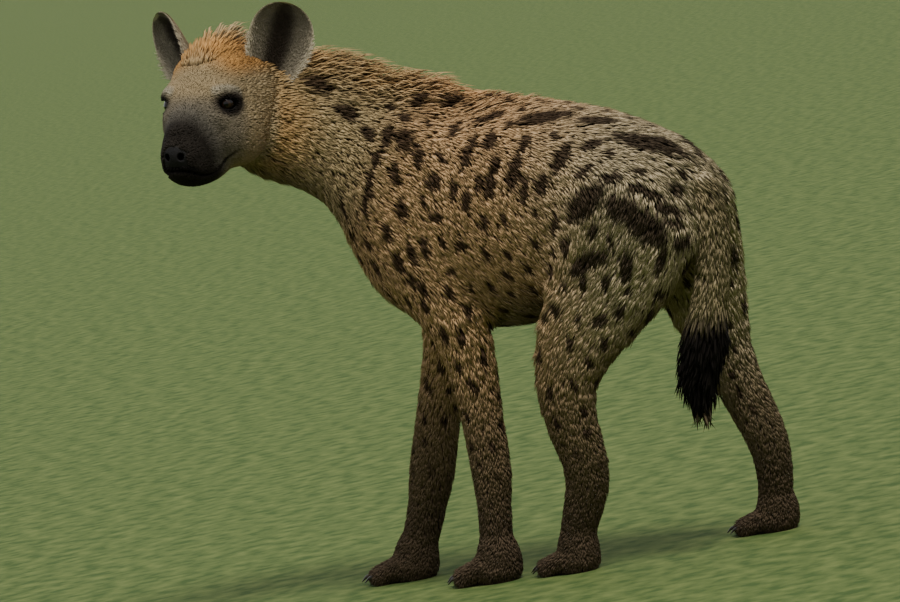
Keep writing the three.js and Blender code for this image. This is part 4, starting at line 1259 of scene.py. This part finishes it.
def eye(name, side):
    rings, around = 40, 48
    look = np.array([EYE_LOOK[0], side * EYE_LOOK[1] * 0.72, EYE_LOOK[2] - 0.06])
    look = look / np.linalg.norm(look)
    u = np.cross([0, 0, 1.0], look)
    u /= np.linalg.norm(u)
    v = np.cross(look, u)
    verts, tints = [], []
    for i in range(rings + 1):
        a = math.pi * i / rings
        for j in range(around):
            b = 2 * math.pi * j / around
            d = look * math.cos(a) + (u * math.cos(b) + v * math.sin(b)) * math.sin(a)
            bulge = 1 + 0.03 * math.exp(-((a / 0.5) ** 2))
            verts.append(np.array([EYE_AT[0], side * EYE_AT[1], EYE_AT[2]]) + d * (EYE_RADIUS - 0.5) * bulge)
            streaked = IRIS * (0.8 + 0.3 * math.sin(b * 9) ** 2)
            tints.append(PUPIL if a < PUPIL_ANGLE else streaked if a < IRIS_ANGLE else EYE_EDGE)
    obj = mesh_object(name, from_head(np.array(verts)), ring_faces(rings, around))
    set_colour(obj.data, np.array(tints))
    obj.data.materials.append(EYE_MATERIAL)
    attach(obj, "root")
    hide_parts(name)


EYE_MATERIAL = painted_material("hyena_eye", 0.09, 0.25)
shader = EYE_MATERIAL.node_tree.nodes["Principled BSDF"]
shader.inputs["Coat Weight"].default_value = 0.15
shader.inputs["Coat Roughness"].default_value = 0.03
eye("eye_left", 1)
eye("eye_right", -1)

CLAW_MATERIAL, _, shader = principled("hyena_claw")
shader.inputs["Base Color"].default_value = (*paint(46, 40, 34), 1)
shader.inputs["Roughness"].default_value = 0.4
for name, (px, py, turn, size) in PAWS.items():
    c, s = math.cos(math.radians(turn)), math.sin(math.radians(turn))
    for i, (tx, _, tip, r) in enumerate(TOES):
        line = Spline([
            [tx * 1.1, tip - r + CLAW["sunk"], CLAW["height"]],
            [tx * 1.1, tip - r - CLAW["length"] * 0.4, CLAW["height"] + 1],
            [tx * 1.1, tip - r - CLAW["length"], CLAW["height"] - CLAW["drop"]],
        ])
        verts = []
        around, rings = 10, 8
        for k in range(rings + 1):
            at = line.at(k / rings)
            radius = CLAW["radius"] * (1 - 0.8 * (k / rings) ** 1.6) * 0.95
            for j in range(around):
                a = 2 * math.pi * j / around
                p = at + np.array([0.75 * radius * math.cos(a), 0, radius * math.sin(a)])
                x, y = c * p[0] - s * p[1], s * p[0] + c * p[1]
                verts.append([x * size + px, y * size + py, p[2] * size])
        faces = [[a, d, c, b] for a, b, c, d in ring_faces(rings, around)]
        faces.append(list(range(around))[::-1])
        faces.append([rings * around + j for j in range(around)])
        claw = mesh_object(f"claw_{name}_{i + 1}", np.array(verts), faces)
        claw.data.materials.append(CLAW_MATERIAL)
        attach(claw, "root")
        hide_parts(f"claw_{name}_{i + 1}")

# Floor, light and camera. Each green of the grass begins at its place in the noise.
GRASS = [(0.35, paint(62, 82, 40)), (0.68, paint(100, 112, 62))]
SKY, SKY_STRENGTH = (0.93, 0.95, 1.0, 1), 0.85
SUN = {"azimuth": 150, "height": 62, "energy": 3.0, "angle": 20, "colour": (1.0, 0.97, 0.9)}
floor_mesh = bpy.data.meshes.new("floor")
REACH = 600.0
corners = [[-REACH, -REACH, 0], [REACH, -REACH, 0], [REACH, REACH, 0], [-REACH, REACH, 0]]
floor_mesh.from_pydata(corners, [], [[0, 1, 2, 3]])
floor = linked("floor", floor_mesh)
floor_material, tree, shader = principled("floor")
shader.inputs["Roughness"].default_value = 0.95
shader.inputs["Specular IOR Level"].default_value = 0.1
grain = noise(tree, 26, 6)
ramp = tree.nodes.new("ShaderNodeValToRGB")
for stop, (position, green) in zip(ramp.color_ramp.elements, GRASS):
    stop.position = position
    stop.color = (*green, 1)
tree.links.new(grain, ramp.inputs["Fac"])
tree.links.new(ramp.outputs["Color"], shader.inputs["Base Color"])
floor_mesh.materials.append(floor_material)

world = bpy.data.worlds.new("sky")
bpy.context.scene.world = world
world.use_nodes = True
sky = world.node_tree.nodes["Background"]
sky.inputs["Color"].default_value = SKY
sky.inputs["Strength"].default_value = SKY_STRENGTH

light = bpy.data.lights.new("sky_light", "SUN")
light.energy = SUN["energy"]
light.angle = math.radians(SUN["angle"])
light.color = SUN["colour"]
towards = Vector(direction(SUN["azimuth"], SUN["height"]))
linked("sky_light", light).rotation_euler = towards.to_track_quat("Z", "Y").to_euler()

camera_data = bpy.data.cameras.new("camera")
camera_data.sensor_width = SENSOR
camera_data.lens = SENSOR * CAMERA["distance"] * CAMERA["pixels_per_metre"] / PICTURE[0]
camera_data.clip_end = 2000
camera = linked("camera", camera_data)
matrix = Matrix([[*v] for v in np.stack([CAM_RIGHT, CAM_UP, CAM_BACK], 1)]).to_4x4()
matrix.translation = Vector(to_row(CAM_AT))
camera.matrix_world = matrix
bpy.context.scene.camera = camera
